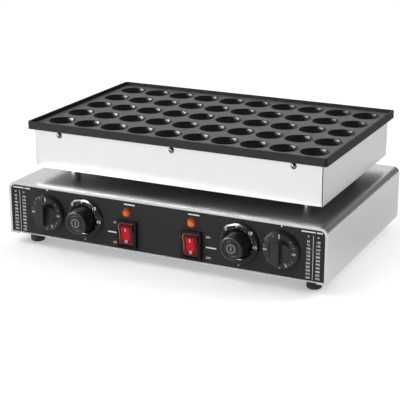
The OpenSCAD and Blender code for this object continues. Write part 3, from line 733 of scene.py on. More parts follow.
@dataclass(frozen=True)
class RockerPlastic(Finish):
    """Clear red rocker: a painted glow over its window, darker towards its edges, and a painted highlight on
    its top and left edges.
    """

    centre_x: float
    centre_z: float
    half_w: float = 11.0
    half_h: float = 17.0
    window_w: float = 12.0
    window_h: float = 20.0
    window_up: float = 1.8
    window_soft: float = 2.4
    # bright is the window's painted glow; dull is the rest of the rocker.
    bright: Colour = (0.47, 0.004, 0.008)
    dull: Colour = (0.055, 0.004, 0.006)
    # Pale colour of the painted highlight on the top and left edges.
    edge: Colour = (0.40, 0.18, 0.17)
    side_edge: float = 1.0
    top_edge: float = 0.8
    edge_soft: float = 0.6
    edge_most: float = 0.8
    gloss: Pair = (0.20, 0.28)
    rib_size: float = 1.4
    grain_size: float = 1.6
    depth: float = 0.02

    def write(self, recipe: Recipe) -> None:
        """Paints a glow on the window by its distance from the rocker's middle, and paints a highlight on
        two edges.

        Args:
            recipe: the material's tree.
        """
        aside, up = recipe.x - self.centre_x, recipe.z - self.centre_z
        across, along = abs(aside), abs(up - self.window_up)
        window = across.below(self.window_w / 2, self.window_soft)
        window = window * along.below(self.window_h / 2, self.window_soft)
        ribs = recipe.noise(self.rib_size, detail=1, stretch=(1.0, 0.1, 0.1))
        grains = recipe.cells(self.grain_size)
        # The top and left edges are painted pale: a painted highlight.
        edge = aside.below(self.side_edge - self.half_w, self.edge_soft)
        edge = edge * up.above(-self.half_h / 2, self.half_h)
        edge = edge + up.above(self.half_h - self.top_edge, self.edge_soft)
        lit = recipe.mix(ribs, shade(self.bright, 0.85), self.bright)
        dull = recipe.mix(grains, self.dull, shade(self.dull, 2.2))
        edge_highlight = edge.math("MINIMUM", edge, self.edge_most)
        recipe.surface(
            base_color=recipe.mix(edge_highlight, recipe.mix(window, dull, lit), self.edge),
            roughness=ribs.between(*self.gloss),
            specular_ior_level=0.15,
            # The window's emission is a painted glow.
            emission_color=recipe.mix(window, BLACK, self.bright),
            emission_strength=0.12,
        )
        recipe.bump(ribs, self.depth, strength=0.5)


@dataclass(frozen=True)
class LensPlastic(Finish):
    """Amber lens of a pilot lamp, lit from behind in patches."""

    centre_x: float
    centre_z: float
    bright: Colour = (0.80, 0.23, 0.025)
    deep: Colour = (0.30, 0.045, 0.005)
    rim: Pair = (5.0, 4.0)
    core: Pair = (1.0, 1.2)
    core_dark: float = 0.7
    patch_size: float = 3.4
    patch: Pair = (0.5, 0.16)
    patch_dark: float = 0.55
    cloud_size: float = 2.2
    cloud_shift: float = 2.0
    gloss: Pair = (0.04, 0.12)
    depth: float = 0.02

    def write(self, recipe: Recipe) -> None:
        """Darkens the lens at its rim, in its middle and in patches between them.

        Args:
            recipe: the material's tree.
        """
        out = (recipe.x - self.centre_x).hypot(recipe.z - self.centre_z)
        cloud = recipe.noise(self.cloud_size, detail=2)
        patches = recipe.noise(self.patch_size, detail=1).above(*self.patch) * self.patch_dark
        rim = (out + cloud * self.cloud_shift).above(*self.rim)
        core = out.below(*self.core) * self.core_dark
        dark = 1 - (1 - rim) * (1 - patches) * (1 - core)
        recipe.surface(
            base_color=recipe.mix(dark, self.bright, self.deep),
            roughness=cloud.between(*self.gloss),
            transmission_weight=0.55,
            emission_color=recipe.mix(dark, self.bright, BLACK),
            emission_strength=0.42,
        )
        recipe.bump(cloud, self.depth, strength=0.3)


COATING = CastCoating("cast_coating")
BASE_STEEL = BrushedSteel("base_steel")
REAR_STEEL = BrushedSteel("rear_steel", grain=Grain.UPRIGHT)
BOX_STEEL = BoxSteel("box_steel", (0.68, 0.68, 0.675), Grain.UPRIGHT, 0.36)
SHAFT_STEEL = PolishedSteel("turned_steel")
POST_STEEL = PolishedSteel("post_steel", (0.34, 0.34, 0.345), 0.26)
SCREW_STEEL = PolishedSteel("screw_steel", (0.22, 0.22, 0.225), 0.18)
ZINC = ZincPlate("zinc_plate")
SHEATH = HeatedSheath("heater_sheath")
BLACK_SHEET = Plastic("black_sheet", (0.006, 0.006, 0.0065), 0.45, 0.015, 0.2)
PRINTED = PrintedSheet("panel_print")
DIAL_PLASTIC = Plastic("dial_plastic", (0.0025, 0.0025, 0.0028), 0.34, 0.015, 0.45)
SWITCH_PLASTIC = Plastic("switch_plastic", (0.0025, 0.0025, 0.0028), 0.22, 0.01, 0.18)
BODY_PLASTIC = Plastic("body_plastic", (0.02, 0.02, 0.021), 0.5, 0.03, 0.4)
RING_LACQUER = Lacquer("ring_lacquer")
WHITE_INK = Ink("white_print")
GREY_INK = Ink("grey_print", (0.30, 0.30, 0.30))
INLAY_STEEL = Ink("knob_inlay", (0.38, 0.38, 0.38))
RUBBER = Rubber("foot_rubber")
WOOL = MineralWool("pressed_wool")
PORCELAIN = Porcelain("steatite")


# Bench tools


class Bench:
    """Modelling steps that the sub-assemblies share."""

    weld: float = 0.002

    @staticmethod
    def clear() -> None:
        """Leaves edit mode with nothing selected."""
        active = bpy.context.view_layer.objects.active
        if active is not None and active.mode != "OBJECT":
            bpy.ops.object.mode_set(mode="OBJECT")
        bpy.ops.object.select_all(action="DESELECT")

    @staticmethod
    def active() -> bpy.types.Object:
        """The object that the last operator made."""
        return bpy.context.view_layer.objects.active

    @staticmethod
    def take(obj: bpy.types.Object) -> None:
        """Makes obj the one selected and active object.

        Args:
            obj: the object to work on.
        """
        Bench.clear()
        obj.select_set(True)
        bpy.context.view_layer.objects.active = obj

    @staticmethod
    def settle(obj: bpy.types.Object, matrix: Matrix | None = None) -> bpy.types.Object:
        """Moves an object and puts its whole place into its mesh.

        Args:
            obj: the object.
            matrix: the move, or None where it stands in its place.

        Returns:
            The same object.
        """
        Bench.take(obj)
        if matrix is not None:
            obj.matrix_world = matrix @ obj.matrix_world
        bpy.ops.object.transform_apply(location=True, rotation=True, scale=True)
        return obj

    @staticmethod
    def apply(obj: bpy.types.Object, kind: str, **settings: Any) -> None:
        """Adds one modifier, sets it and applies it.

        Args:
            obj: the object.
            kind: Blender's type name of the modifier.
            settings: the modifier's properties.
        """
        Bench.take(obj)
        bpy.ops.object.modifier_add(type=kind)
        modifier = obj.modifiers[-1]
        for key, setting in settings.items():
            setattr(modifier, key, setting)
        bpy.ops.object.modifier_apply(modifier=modifier.name)

    @staticmethod
    def pick(
        obj: bpy.types.Object, element: Element, wanted: Callable[[Any], bool] = lambda one: True
    ) -> None:
        """Enters edit mode and selects what is wanted.

        Args:
            obj: the mesh object to edit.
            element: whether vertices or faces are selected.
            wanted: says of one vertex or face of bmesh whether it is; all are if it is left out.
        """
        Bench.take(obj)
        bpy.ops.object.mode_set(mode="EDIT")
        bpy.ops.mesh.select_mode(type=element.name)
        bpy.ops.mesh.select_all(action="DESELECT")
        shape = bmesh.from_edit_mesh(obj.data)
        for one in getattr(shape, element.value):
            if wanted(one):
                one.select_set(True)
        shape.select_flush_mode()
        bmesh.update_edit_mesh(obj.data)

    @staticmethod
    def slice(obj: bpy.types.Object, step: float) -> None:
        """Cuts a flat shape across, so that it can bend.

        Args:
            obj: a shape in the plane of X and Y.
            step: millimetres from one cut to the next.
        """
        box = [Vector(corner) for corner in obj.bound_box]
        for axis in (0, 1):
            low, high = min(c[axis] for c in box) / MM, max(c[axis] for c in box) / MM
            cuts = int((high - low) / step)
            normal = Vector((float(axis == 0), float(axis == 1), 0.0))
            for i in range(1, cuts + 1):
                Bench.pick(obj, Element.FACE)
                at = low + (high - low) * i / (cuts + 1)
                bpy.ops.mesh.bisect(plane_co=normal * at * MM, plane_no=normal)
                bpy.ops.object.mode_set(mode="OBJECT")

    @staticmethod
    def clean(obj: bpy.types.Object) -> None:
        """Merges doubled vertices and turns all faces outwards.

        Args:
            obj: a closed mesh.
        """
        Bench.pick(obj, Element.FACE)
        bpy.ops.mesh.remove_doubles(threshold=Bench.weld * MM)
        bpy.ops.mesh.normals_make_consistent(inside=False)
        bpy.ops.object.mode_set(mode="OBJECT")

    @staticmethod
    def join(name: str, parts: Iterable[bpy.types.Object]) -> bpy.types.Object:
        """Makes one named piece of several.

        Args:
            name: the piece's name.
            parts: one or more meshes.

        Returns:
            The piece.
        """
        parts = list(parts)
        Bench.take(parts[0])
        for part in parts:
            part.select_set(True)
        if len(parts) > 1:
            bpy.ops.object.join()
        whole = Bench.active()
        whole.name = whole.data.name = name
        return whole

    @staticmethod
    def copies(pattern: bpy.types.Object, count: int) -> list[bpy.types.Object]:
        """Makes a set of what repeats, each with its own mesh.

        Args:
            pattern: the modelled shape, which becomes the first of the set.
            count: how many the set holds.

        Returns:
            The set.
        """
        made = [pattern]
        while len(made) < count:
            Bench.take(pattern)
            bpy.ops.object.duplicate(linked=False)
            made.append(Bench.active())
        return made


@dataclass(frozen=True)
class NodeBox:
    """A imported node's box at rest, in millimetres."""

    low: Vector
    high: Vector

    @classmethod
    def of(cls, node: str) -> "NodeBox":
        """Measures one node."""
        low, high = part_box(node)
        return cls(low / MM, high / MM)

    @property
    def middle(self) -> Vector:
        """Centre of the box."""
        return (self.low + self.high) / 2


@dataclass(frozen=True)
class Face:
    """A place on the front that marks are laid on: X to the right, Y up, Z outwards."""

    matrix: Matrix

    @classmethod
    def at(cls, x: float, front: float, z: float) -> "Face":
        """The face whose origin lies at x and z on the plane y = front."""
        return cls(Matrix.Translation(Vector((x, front, z)) * MM) @ Matrix.Rotation(math.pi / 2, 4, "X"))

    @classmethod
    def over(cls, node: str, out: float = 0.0) -> "Face":
        """The face over a node's middle, at a distance before the printed panel."""
        middle = NodeBox.of(node).middle
        return cls.at(middle.x, NodeBox.of("panel_overlay").low.y - out, middle.z)

    def raised(self, out: float) -> "Face":
        """The face moved outwards."""
        return Face(self.matrix @ Matrix.Translation((0.0, 0.0, out * MM)))

    def leaned(self, angle: float) -> "Face":
        """The face leaned about its own X, by an angle in degrees."""
        return Face(self.matrix @ Matrix.Rotation(math.radians(angle), 4, "X"))


class Press:
    """Models marks flat at the origin and gives them the print's thickness in their place."""

    thickness: float = 0.12
    slice_step: float = 0.9
    boldness: float = 0.012

    @staticmethod
    def bar(width: float, height: float, corner: float) -> bpy.types.Object:
        """Rectangle with rounded corners.

        Args:
            width: its size along X.
            height: its size along Y.
            corner: radius of its corners.

        Returns:
            The mark, centred on the origin.
        """
        Bench.clear()
        bpy.ops.mesh.primitive_plane_add(size=1.0)
        mark = Bench.active()
        mark.scale = (width * MM, height * MM, 1.0)
        Bench.settle(mark)
        Bench.pick(mark, Element.VERT)
        bpy.ops.mesh.bevel(offset=corner * MM, segments=3, affect="VERTICES", offset_type="OFFSET")
        bpy.ops.object.mode_set(mode="OBJECT")
        return mark

    @staticmethod
    def dot(radius: float, vertices: int) -> bpy.types.Object:
        """Round spot.

        Args:
            radius: its radius.
            vertices: how many corners draw it.

        Returns:
            The mark, centred on the origin.
        """
        Bench.clear()
        bpy.ops.mesh.primitive_circle_add(vertices=vertices, radius=radius * MM, fill_type="NGON")
        return Bench.active()

    @staticmethod
    def ring(radius: float, width: float, vertices: int) -> bpy.types.Object:
        """Ring.

        Args:
            radius: its outer radius.
            width: width of its line.
            vertices: how many corners draw it.

        Returns:
            The mark, centred on the origin.
        """
        mark = Press.dot(radius, vertices)
        Bench.pick(mark, Element.FACE)
        bpy.ops.mesh.inset(thickness=width * MM)
        bpy.ops.mesh.delete(type="FACE")
        bpy.ops.object.mode_set(mode="OBJECT")
        return mark

    @staticmethod
    def words(text: str, size: float, align: Align = Align.CENTER) -> bpy.types.Object:
        """Printed characters in the built-in face, made a mesh.

        Args:
            text: what is printed.
            size: the type's size in millimetres.
            align: which end of them stands on the origin, or their middle.

        Returns:
            The characters, with their middle height on the origin.
        """
        Bench.clear()
        bpy.ops.object.text_add()
        mark = Bench.active()
        mark.data.body = text
        mark.data.size = size * MM
        mark.data.align_x = align.value
        mark.data.align_y = "CENTER"
        mark.data.resolution_u = 3
        mark.data.offset = size * Press.boldness * MM
        bpy.ops.object.convert(target="MESH")
        return Bench.active()

    @classmethod
    def thicken(cls, mark: bpy.types.Object) -> bpy.types.Object:
        """Gives a flat mark in its place the print's thickness, outwards.

        Args:
            mark: the mark.

        Returns:
            The same mark.
        """
        Bench.apply(mark, "SOLIDIFY", thickness=cls.thickness * MM, offset=1.0)
        Bench.clean(mark)
        return mark

    @classmethod
    def lay(
        cls, mark: bpy.types.Object, face: Face, x: float, y: float, turn: float = 0.0
    ) -> bpy.types.Object:
        """Puts a mark at x and y on a flat face, turned to the left by so many degrees."""
        place = Matrix.Translation(Vector((x, y, 0.0)) * MM) @ Matrix.Rotation(math.radians(turn), 4, "Z")
        return cls.thicken(Bench.settle(mark, face.matrix @ place))

    @classmethod
    def wrap(
        cls, mark: bpy.types.Object, face: Face, x: float, y: float, on: bpy.types.Object
    ) -> bpy.types.Object:
        """Puts a mark before a curved surface and lets it down on it.

        Args:
            mark: a mark centred on the origin.
            face: a flat face before the curved one.
            x: its place to the right, in the face.
            y: its place upwards, in the face.
            on: the piece that it is laid on.

        Returns:
            The mark in place.
        """
        Bench.slice(mark, cls.slice_step)
        Bench.settle(mark, face.matrix @ Matrix.Translation(Vector((x, y, 0.0)) * MM))
        Bench.apply(
            mark, "SHRINKWRAP", target=on, wrap_method="PROJECT", use_project_y=True,
            use_positive_direction=True, use_negative_direction=False,
        )
        return cls.thicken(mark)


def around(radius: float, angle: float) -> Pair:
    """Place at a radius and an angle, in degrees from the right over the top."""
    return radius * math.cos(math.radians(angle)), radius * math.sin(math.radians(angle))


def both(stem: str) -> list[str]:
    """Names of the left and the right node."""
    return [side.node(stem) for side in Side]


def dress(finish: Finish, *nodes: str) -> None:
    """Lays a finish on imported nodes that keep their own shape.

    Args:
        finish: the finish.
        nodes: the nodes' names.
    """
    for node in nodes:
        finish.lay_on(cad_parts[node])
        LOG.info("%s finished as %s", node, finish.name)


def hand_over(piece: bpy.types.Object, finish: Finish, body: str) -> None:
    """Finishes a new piece and ties it to its body.

    Args:
        piece: the piece, in its place.
        finish: its finish.
        body: the body that it rides on.
    """
    finish.lay_on(piece)
    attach(piece, body)
    LOG.info("%s rides on %s, %d faces", piece.name, body, len(piece.data.polygons))


def twins(stem: str, left: bpy.types.Object, like: str) -> Iterable[tuple[Side, bpy.types.Object]]:
    """Names a piece of the left half and copies it to the right half.

    Args:
        stem: the pieces' name without its side.
        left: the piece, in its place.
        like: stem of the nodes whose distance it is copied over.

    Returns:
        Each side with its piece.
    """
    here, there = (NodeBox.of(node).middle for node in both(like))
    right = Bench.copies(left, len(Side))[1]
    Bench.settle(right, Matrix.Translation((there - here) * MM))
    for side, piece in zip(Side, (left, right)):
        piece.name = piece.data.name = side.node(stem)
        yield side, piece


# Sub-assemblies


@dataclass
class BakingTop:
    """The casting with its fifty pits, and the box that it closes."""

    def build(self) -> None:
        """Finishes the plate, the box and what lies between them."""
        dress(COATING, "baking_plate")
        dress(BOX_STEEL, "upper_box")
        dress(SCREW_STEEL, "rim_screws")
        dress(SHEATH, *both("heating_element"))
        dress(ZINC, "element_clamps", "clamp_screws")
        dress(WOOL, "insulation_pad")


@dataclass
class Supports:
    """Posts and the cable tube between the base and the box."""

    def build(self) -> None:
        """Finishes the posts, the tube and their bolts and nuts."""
        dress(POST_STEEL, "support_posts")
        dress(ZINC, "post_bolts", "post_nuts", "cable_tube_nuts")
        dress(BODY_PLASTIC, "cable_tube")


@dataclass
class Housing:
    """Base housing, its panels, its feet and what is fixed inside it."""

    def build(self) -> None:
        """Finishes the housing's sheets, screws, feet and cord entry."""
        dress(BASE_STEEL, "base_shell")
        dress(REAR_STEEL, "rear_panel")
        dress(ZINC, "bottom_plate", "bottom_screws", "rear_screws", "panel_screws")
        dress(ZINC, "foot_screws", "foot_nuts")
        dress(RUBBER, "feet")
        dress(BODY_PLASTIC, "cable_gland", "gland_nut")
        dress(PORCELAIN, "terminal_block")


@dataclass
class ScaleTables:
    """The tables beside the outer dials: two columns of numbers with a rule between them."""

    rules_x: Pair = (-234.6, 231.8)
    rule_w: float = 0.5
    rule_ends: Pair = (22.0, 86.0)
    headings: tuple[Triple, Triple] = ((-245.8, -226.4, -215.8), (214.4, 235.5, 245.0))
    heading_gap: float = 1.4
    heading_z: float = 90.4
    heading_h: float = 1.7
    columns_x: Pair = (-7.0, 7.1)
    sign_z: float = 83.8
    sign: Pair = (1.1, 0.5)
    top_z: float = 76.8
    pitch: float = 5.2
    type_size: float = 4.1
    scale: range = range(50, 301, 25)

    def build(self, face: Face) -> None:
        """Prints the left table, copies its columns to the right one and heads both.

        Args:
            face: the panel's face.
        """
        left, right = Bench.copies(Bench.join("columns", self.columns(face)), len(Side))
        apart = self.rules_x[1] - self.rules_x[0]
        Bench.settle(right, Matrix.Translation((apart * MM, 0.0, 0.0)))
        for side, columns, heading in zip(Side, (left, right), self.headings):
            piece = Bench.join(side.node("scale_table"), [columns, *self.bars(heading, face)])
            hand_over(piece, WHITE_INK, ROOT_BODY)

    def columns(self, face: Face) -> Iterable[bpy.types.Object]:
        """Prints the left table's rule, its sign rings and its numbers.

        Args:
            face: the panel's face.

        Returns:
            The marks in place.
        """
        rule_x, (low, high) = self.rules_x[0], self.rule_ends
        places = [rule_x + x for x in self.columns_x]
        yield Press.lay(Press.bar(self.rule_w, high - low, corner=0.2), face, rule_x, (low + high) / 2)
        for x, ring in zip(places, Bench.copies(Press.ring(*self.sign, vertices=16), len(places))):
            yield Press.lay(ring, face, x, self.sign_z)
        for row, celsius in enumerate(self.scale):
            fahrenheit = round((celsius * 9 / 5 + 32) / 5) * 5
            for x, number in zip(places, (celsius, fahrenheit)):
                mark = Press.words(str(number), self.type_size)
                yield Press.lay(mark, face, x, self.top_z - row * self.pitch)

    def bars(self, heading: Triple, face: Face) -> Iterable[bpy.types.Object]:
        """Prints the two bars over a table.

        Args:
            heading: X of the first bar's start, of the gap and of the second bar's end.
            face: the panel's face.

        Returns:
            The bars in place.
        """
        start, gap, end = heading
        for low, high in ((start, gap - self.heading_gap / 2), (gap + self.heading_gap / 2, end)):
            bar = Press.bar(high - low, self.heading_h, corner=0.9)
            yield Press.lay(bar, face, (low + high) / 2, self.heading_z)


@dataclass
class ControlPanel:
    """The printed face of the front, with its tables, spots and labels."""

    index_r: float = 1.2
    index_x: Pair = (-186.0, 186.0)
    index_z: float = 92.7
    spot_r: float = 0.9
    spot_z: float = 25.9
    lamp_bar: Triple = (17.5, 1.7, 0.7)
    lamp_bars_x: Pair = (-48.2, 54.4)
    lamp_bar_z: float = 89.4
    label_bar: Triple = (16.0, 1.8, 0.7)
    label_bars_x: Pair = (-76.0, 80.9)
    label_bar_z: float = 44.3
    words: tuple[tuple[str, float], ...] = (("ON", 59.3), ("OFF", 28.7))
    words_x: Pair = (-67.9, 72.8)
    words_end: tuple[Align, Align] = (Align.RIGHT, Align.LEFT)
    type_size: float = 4.3

    def build(self) -> None:
        """Finishes the panel and prints it."""
        dress(BLACK_SHEET, "front_panel")
        dress(PRINTED, "panel_overlay")
        face = Face.at(0.0, NodeBox.of("panel_overlay").low.y, 0.0)
        ScaleTables().build(face)
        for side, spots, words in zip(Side, self.spots(face), self.labels(face)):
            labels = Bench.join(side.node("switch_labels"), [*spots, *words])
            hand_over(labels, WHITE_INK, ROOT_BODY)

    def spots(self, face: Face) -> Iterable[Sequence[bpy.types.Object]]:
        """Prints the spots over the dials and under the timers, and the bars over lamps and switches.

        Args:
            face: the panel's face.

        Returns:
            The marks of the left half, then those of the right half.
        """
        timers_x = [NodeBox.of(node).middle.x for node in both("timer_bezel")]
        kinds = (
            (Press.dot(self.index_r, vertices=24), self.index_x, self.index_z),
            (Press.dot(self.spot_r, vertices=24), timers_x, self.spot_z),
            (Press.bar(*self.lamp_bar), self.lamp_bars_x, self.lamp_bar_z),
            (Press.bar(*self.label_bar), self.label_bars_x, self.label_bar_z),
        )
        return zip(*(
            [Press.lay(mark, face, x, z) for mark, x in zip(Bench.copies(pattern, len(Side)), places)]
            for pattern, places, z in kinds
        ))

    def labels(self, face: Face) -> Iterable[Sequence[bpy.types.Object]]:
        """Prints the words beside the switches: those of the left half, then those of the right."""
        for x, align in zip(self.words_x, self.words_end):
            yield [Press.lay(Press.words(text, self.type_size, align), face, x, z) for text, z in self.words]


@dataclass
class Thermostats:
    """The two thermostats with their dials, which are marked round their edges."""

    disc_out: float = 7.0
    inner: float = 17.8
    outer: float = 24.4
    long_w: float = 1.3
    long_mark: float = 91.0
    type_size: float = 3.9
    numbers: tuple[tuple[float, str], ...] = ((-4.0, "100"), (-62.0, "200"), (180.0, "300"))
    spot_r: float = 0.7
    spot_in: float = 0.9
    spots: tuple[float, ...] = (-87.0, -112.0)
    short: Triple = (3.2, 0.7, 0.2)
    short_in: float = 1.7
    short_marks: tuple[float, ...] = (43.0, 20.0, -33.0, -48.0, -137.0, 166.0, 143.0, 114.0)

    def build(self) -> None:
        """Finishes the thermostats and prints their dials."""
        dress(ZINC, *both("thermostat"))
        dress(SHAFT_STEEL, *both("thermostat_shaft"))
        dress(DIAL_PLASTIC, *both("thermostat_dial"))
        face = Face.over(Side.LEFT.node("thermostat_dial"), self.disc_out)
        self.print_dials("dial_numbers", self.bold_marks(face), WHITE_INK)
        self.print_dials("dial_ticks", self.fine_marks(face), GREY_INK)

    def print_dials(self, stem: str, marks: Iterable[bpy.types.Object], ink: Finish) -> None:
        """Joins the left dial's marks of one ink, and hands them over for both dials."""
        for side, piece in twins(stem, Bench.join(stem, marks), "thermostat_dial"):
            hand_over(piece, ink, side.node("thermostat_knob"))

    def bold_marks(self, face: Face) -> Iterable[bpy.types.Object]:
        """Prints the long tick, the numbers, which read outwards, and the spots.

        Args:
            face: the left dial's face.

        Returns:
            The marks in place.
        """
        middle, long_h = (self.inner + self.outer) / 2, self.outer - self.inner
        tick = Press.bar(long_h, self.long_w, corner=0.3)
        yield Press.lay(tick, face, *around(middle, self.long_mark), self.long_mark)
        for angle, text in self.numbers:
            turn = angle if abs(angle) < 90 else angle + 180
            yield Press.lay(Press.words(text, self.type_size), face, *around(middle, angle), turn)
        dots = Bench.copies(Press.dot(self.spot_r, vertices=16), len(self.spots))
        for angle, spot in zip(self.spots, dots):
            yield Press.lay(spot, face, *around(self.outer - self.spot_in, angle))

    def fine_marks(self, face: Face) -> Iterable[bpy.types.Object]:
        """Prints the short ticks between the numbers.

        Args:
            face: the left dial's face.

        Returns:
            The marks in place.
        """
        ticks = Bench.copies(Press.bar(*self.short), len(self.short_marks))
        for angle, tick in zip(self.short_marks, ticks):
            yield Press.lay(tick, face, *around(self.outer - self.short_in, angle), angle)


@dataclass
class Timers:
    """The two timers with their glossy rings, which carry the numbers, and their knobs."""

    ring_h: float = 5.0
    clear_of_ring: float = 1.0
    numbers_at: float = 26.0
    type_size: float = 6.4
    numbers: tuple[tuple[float, str], ...] = ((132.0, "0"), (93.0, "5"), (44.0, "10"), (-3.0, "15"))
    spots_at: float = 22.7
    spot_r: float = 0.45
    spots: tuple[float, ...] = (118.0, 109.0, 75.0, 64.0, 57.0, 40.0, 33.0, 26.0, 18.0, 11.5, -5.0, -20.0)
    inlay_ring: Pair = (6.4, 1.0)
    inlay_bar: Triple = (1.0, 5.6, 0.3)
    inlay_in: float = 0.5

    def build(self) -> None:
        """Finishes the timers, prints their rings and inlays their knobs."""
        dress(ZINC, *both("timer"))
        dress(SHAFT_STEEL, *both("timer_shaft"))
        dress(RING_LACQUER, *both("timer_bezel"))
        dress(DIAL_PLASTIC, *both("timer_knob"))
        printed = Bench.join("timer_numbers", self.ring_marks())
        for _, piece in twins("timer_numbers", printed, "timer_bezel"):
            hand_over(piece, WHITE_INK, ROOT_BODY)
        for side, piece in twins("knob_inlay", self.inlay(), "timer_knob"):
            hand_over(piece, INLAY_STEEL, side.node("timer_control"))

    def ring_marks(self) -> Iterable[bpy.types.Object]:
        """Wraps upright numbers and small spots on the left ring's domed face.

        Returns:
            The marks in place.
        """
        node = Side.LEFT.node("timer_bezel")
        face = Face.over(node, self.ring_h + self.clear_of_ring)
        marks = [(angle, self.numbers_at, Press.words(text, self.type_size)) for angle, text in self.numbers]
        dots = Bench.copies(Press.dot(self.spot_r, vertices=12), len(self.spots))
        marks += [(angle, self.spots_at, dot) for angle, dot in zip(self.spots, dots)]
        for angle, radius, mark in marks:
            yield Press.wrap(mark, face, *around(radius, angle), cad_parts[node])

    def inlay(self) -> bpy.types.Object:
        """Models the ring and bar sunk in the left knob's front.

        Returns:
            The inlay in place.
        """
        knob = NodeBox.of(Side.LEFT.node("timer_knob"))
        front = Face.at(knob.middle.x, knob.low.y, knob.middle.z).raised(-self.inlay_in)
        marks = (Press.ring(*self.inlay_ring, vertices=64), Press.bar(*self.inlay_bar))
        return Bench.join("knob_inlay", [Press.lay(mark, front, 0.0, 0.0) for mark in marks])


@dataclass
class PowerSwitches:
    """The two rocker switches in their frames, marked I and O."""

    pivot_in: float = 2.1
    middle_out: float = 7.1
    swing: float = 16.0
    mark_at: float = 9.3
    on_bar: Triple = (1.0, 5.6, 0.3)
    off_ring: Pair = (2.2, 0.7)

    def build(self) -> None:
        """Finishes the switches and prints their rockers."""
        dress(SWITCH_PLASTIC, *both("switch"))
        for side in Side:
            middle = NodeBox.of(side.node("switch")).middle
            dress(RockerPlastic(side.node("rocker_red"), middle.x, middle.z), side.node("rocker"))
        for side, piece in twins("rocker_marks", self.marks(), "switch"):
            hand_over(piece, WHITE_INK, side.node("switch_rocker"))

    def marks(self) -> bpy.types.Object:
        """Prints I and O on the two halves of the left rocker's face.

        Returns:
            The marks in place.
        """
        half = self.swing / 2
        pivot = Face.over(Side.LEFT.node("switch")).raised(-self.pivot_in)
        ridge = pivot.leaned(half).raised(self.middle_out)
        halves = (
            (half, self.mark_at, Press.bar(*self.on_bar)),
            (-half, -self.mark_at, Press.ring(*self.off_ring, vertices=24)),
        )
        marks = [Press.lay(mark, ridge.leaned(lean), 0.0, up) for lean, up, mark in halves]
        return Bench.join("rocker_marks", marks)


@dataclass
class PilotLamps:
    """The two pilot lamps, whose amber lenses are cut in flat facets."""

    facets: int = 9
    flange_h: float = 1.4
    flange_lip: float = 0.8
    spigot_r: float = 4.0
    belt: float = 0.80
    belt_rise: float = 0.55
    facet_turn: float = 20.0
    table_r: float = 2.4
    foot_h: float = 0.4

    def build(self) -> None:
        """Finishes the lamps and models their lenses."""
        dress(BODY_PLASTIC, *both("lamp_body"))
        node = Side.LEFT.node("lamp_lens")
        left = Bench.settle(self.lens(NodeBox.of(node)), Face.over(node).matrix)
        for side, piece in twins("faceted_lens", left, "lamp_lens"):
            middle = NodeBox.of(side.node("lamp_lens")).middle
            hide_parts(side.node("lamp_lens"))
            amber = LensPlastic(side.node("lamp_amber"), middle.x, middle.z)
            hand_over(piece, amber, ROOT_BODY)

    def lens(self, box: NodeBox) -> bpy.types.Object:
        """Models a flange, a spigot and a crown of facets, on the panel's face.

        Args:
            box: the box that the lens fills, in its place.

        Returns:
            The lens, at the origin.
        """
        panel = NodeBox.of("panel_overlay").low.y
        radius = (box.high.x - box.low.x) / 2
        Bench.clear()
        bpy.ops.mesh.primitive_cylinder_add(
            vertices=self.facets * 4, radius=radius * MM, depth=self.flange_h * MM,
            location=(0.0, 0.0, self.flange_h / 2 * MM),
        )
        flange = Bench.settle(Bench.active())
        Bench.pick(flange, Element.FACE, lambda face: face.normal.z > 0.9)
        bpy.ops.mesh.inset(thickness=self.flange_lip * MM)
        bpy.ops.object.mode_set(mode="OBJECT")
        Bench.pick(flange, Element.FACE, lambda face: face.normal.z < -0.9)
        bpy.ops.mesh.inset(thickness=(radius - self.spigot_r) * MM)
        inwards = (0.0, 0.0, (panel - box.high.y) * MM)
        bpy.ops.mesh.extrude_region_move(TRANSFORM_OT_translate={"value": inwards})
        bpy.ops.object.mode_set(mode="OBJECT")
        crown = self.crown(radius - self.flange_lip, panel - box.low.y - self.flange_h)
        return Bench.join("lens", [flange, crown])

    def crown(self, radius: float, height: float) -> bpy.types.Object:
        """Models two rows of flat facets, turned against each other, under a flat table.

        Args:
            radius: the crown's radius at its foot.
            height: how far it stands out of the flange.

        Returns:
            The crown, on the flange at the origin.
        """
        Bench.clear()
        bpy.ops.mesh.primitive_cylinder_add(
            vertices=self.facets, radius=radius * MM, depth=self.foot_h * MM,
            location=(0.0, 0.0, self.flange_h * MM),
        )
        crown = Bench.settle(Bench.active())
        table = self.table_r / radius / self.belt
        for scale, rise in ((self.belt, self.belt_rise), (table, 1 - self.belt_rise)):
            outwards = (0.0, 0.0, (height - self.foot_h / 2) * rise * MM)
            Bench.pick(crown, Element.FACE, lambda face: face.normal.z > 0.9)
            bpy.ops.mesh.extrude_region_move(TRANSFORM_OT_translate={"value": outwards})
            bpy.ops.transform.resize(value=(scale, scale, 1.0), center_override=(0.0, 0.0, 0.0))
            bpy.ops.transform.rotate(
                value=math.radians(self.facet_turn), orient_axis="Z", center_override=(0.0, 0.0, 0.0)
            )
            bpy.ops.object.mode_set(mode="OBJECT")
        Bench.pick(crown, Element.FACE)
        bpy.ops.mesh.quads_convert_to_tris(quad_method="SHORTEST_DIAGONAL")
        bpy.ops.object.mode_set(mode="OBJECT")
        Bench.clean(crown)
        return crown


# Studio


@dataclass(frozen=True)
class Lamp:
    """One soft light of the studio, turned to its target."""

    name: str
    place: Triple
    size: Pair
    watts: float
    mirrored: bool = False
    only_on: tuple[str, ...] = ()
    target: Triple = (0.0, 0.0, 0.12)


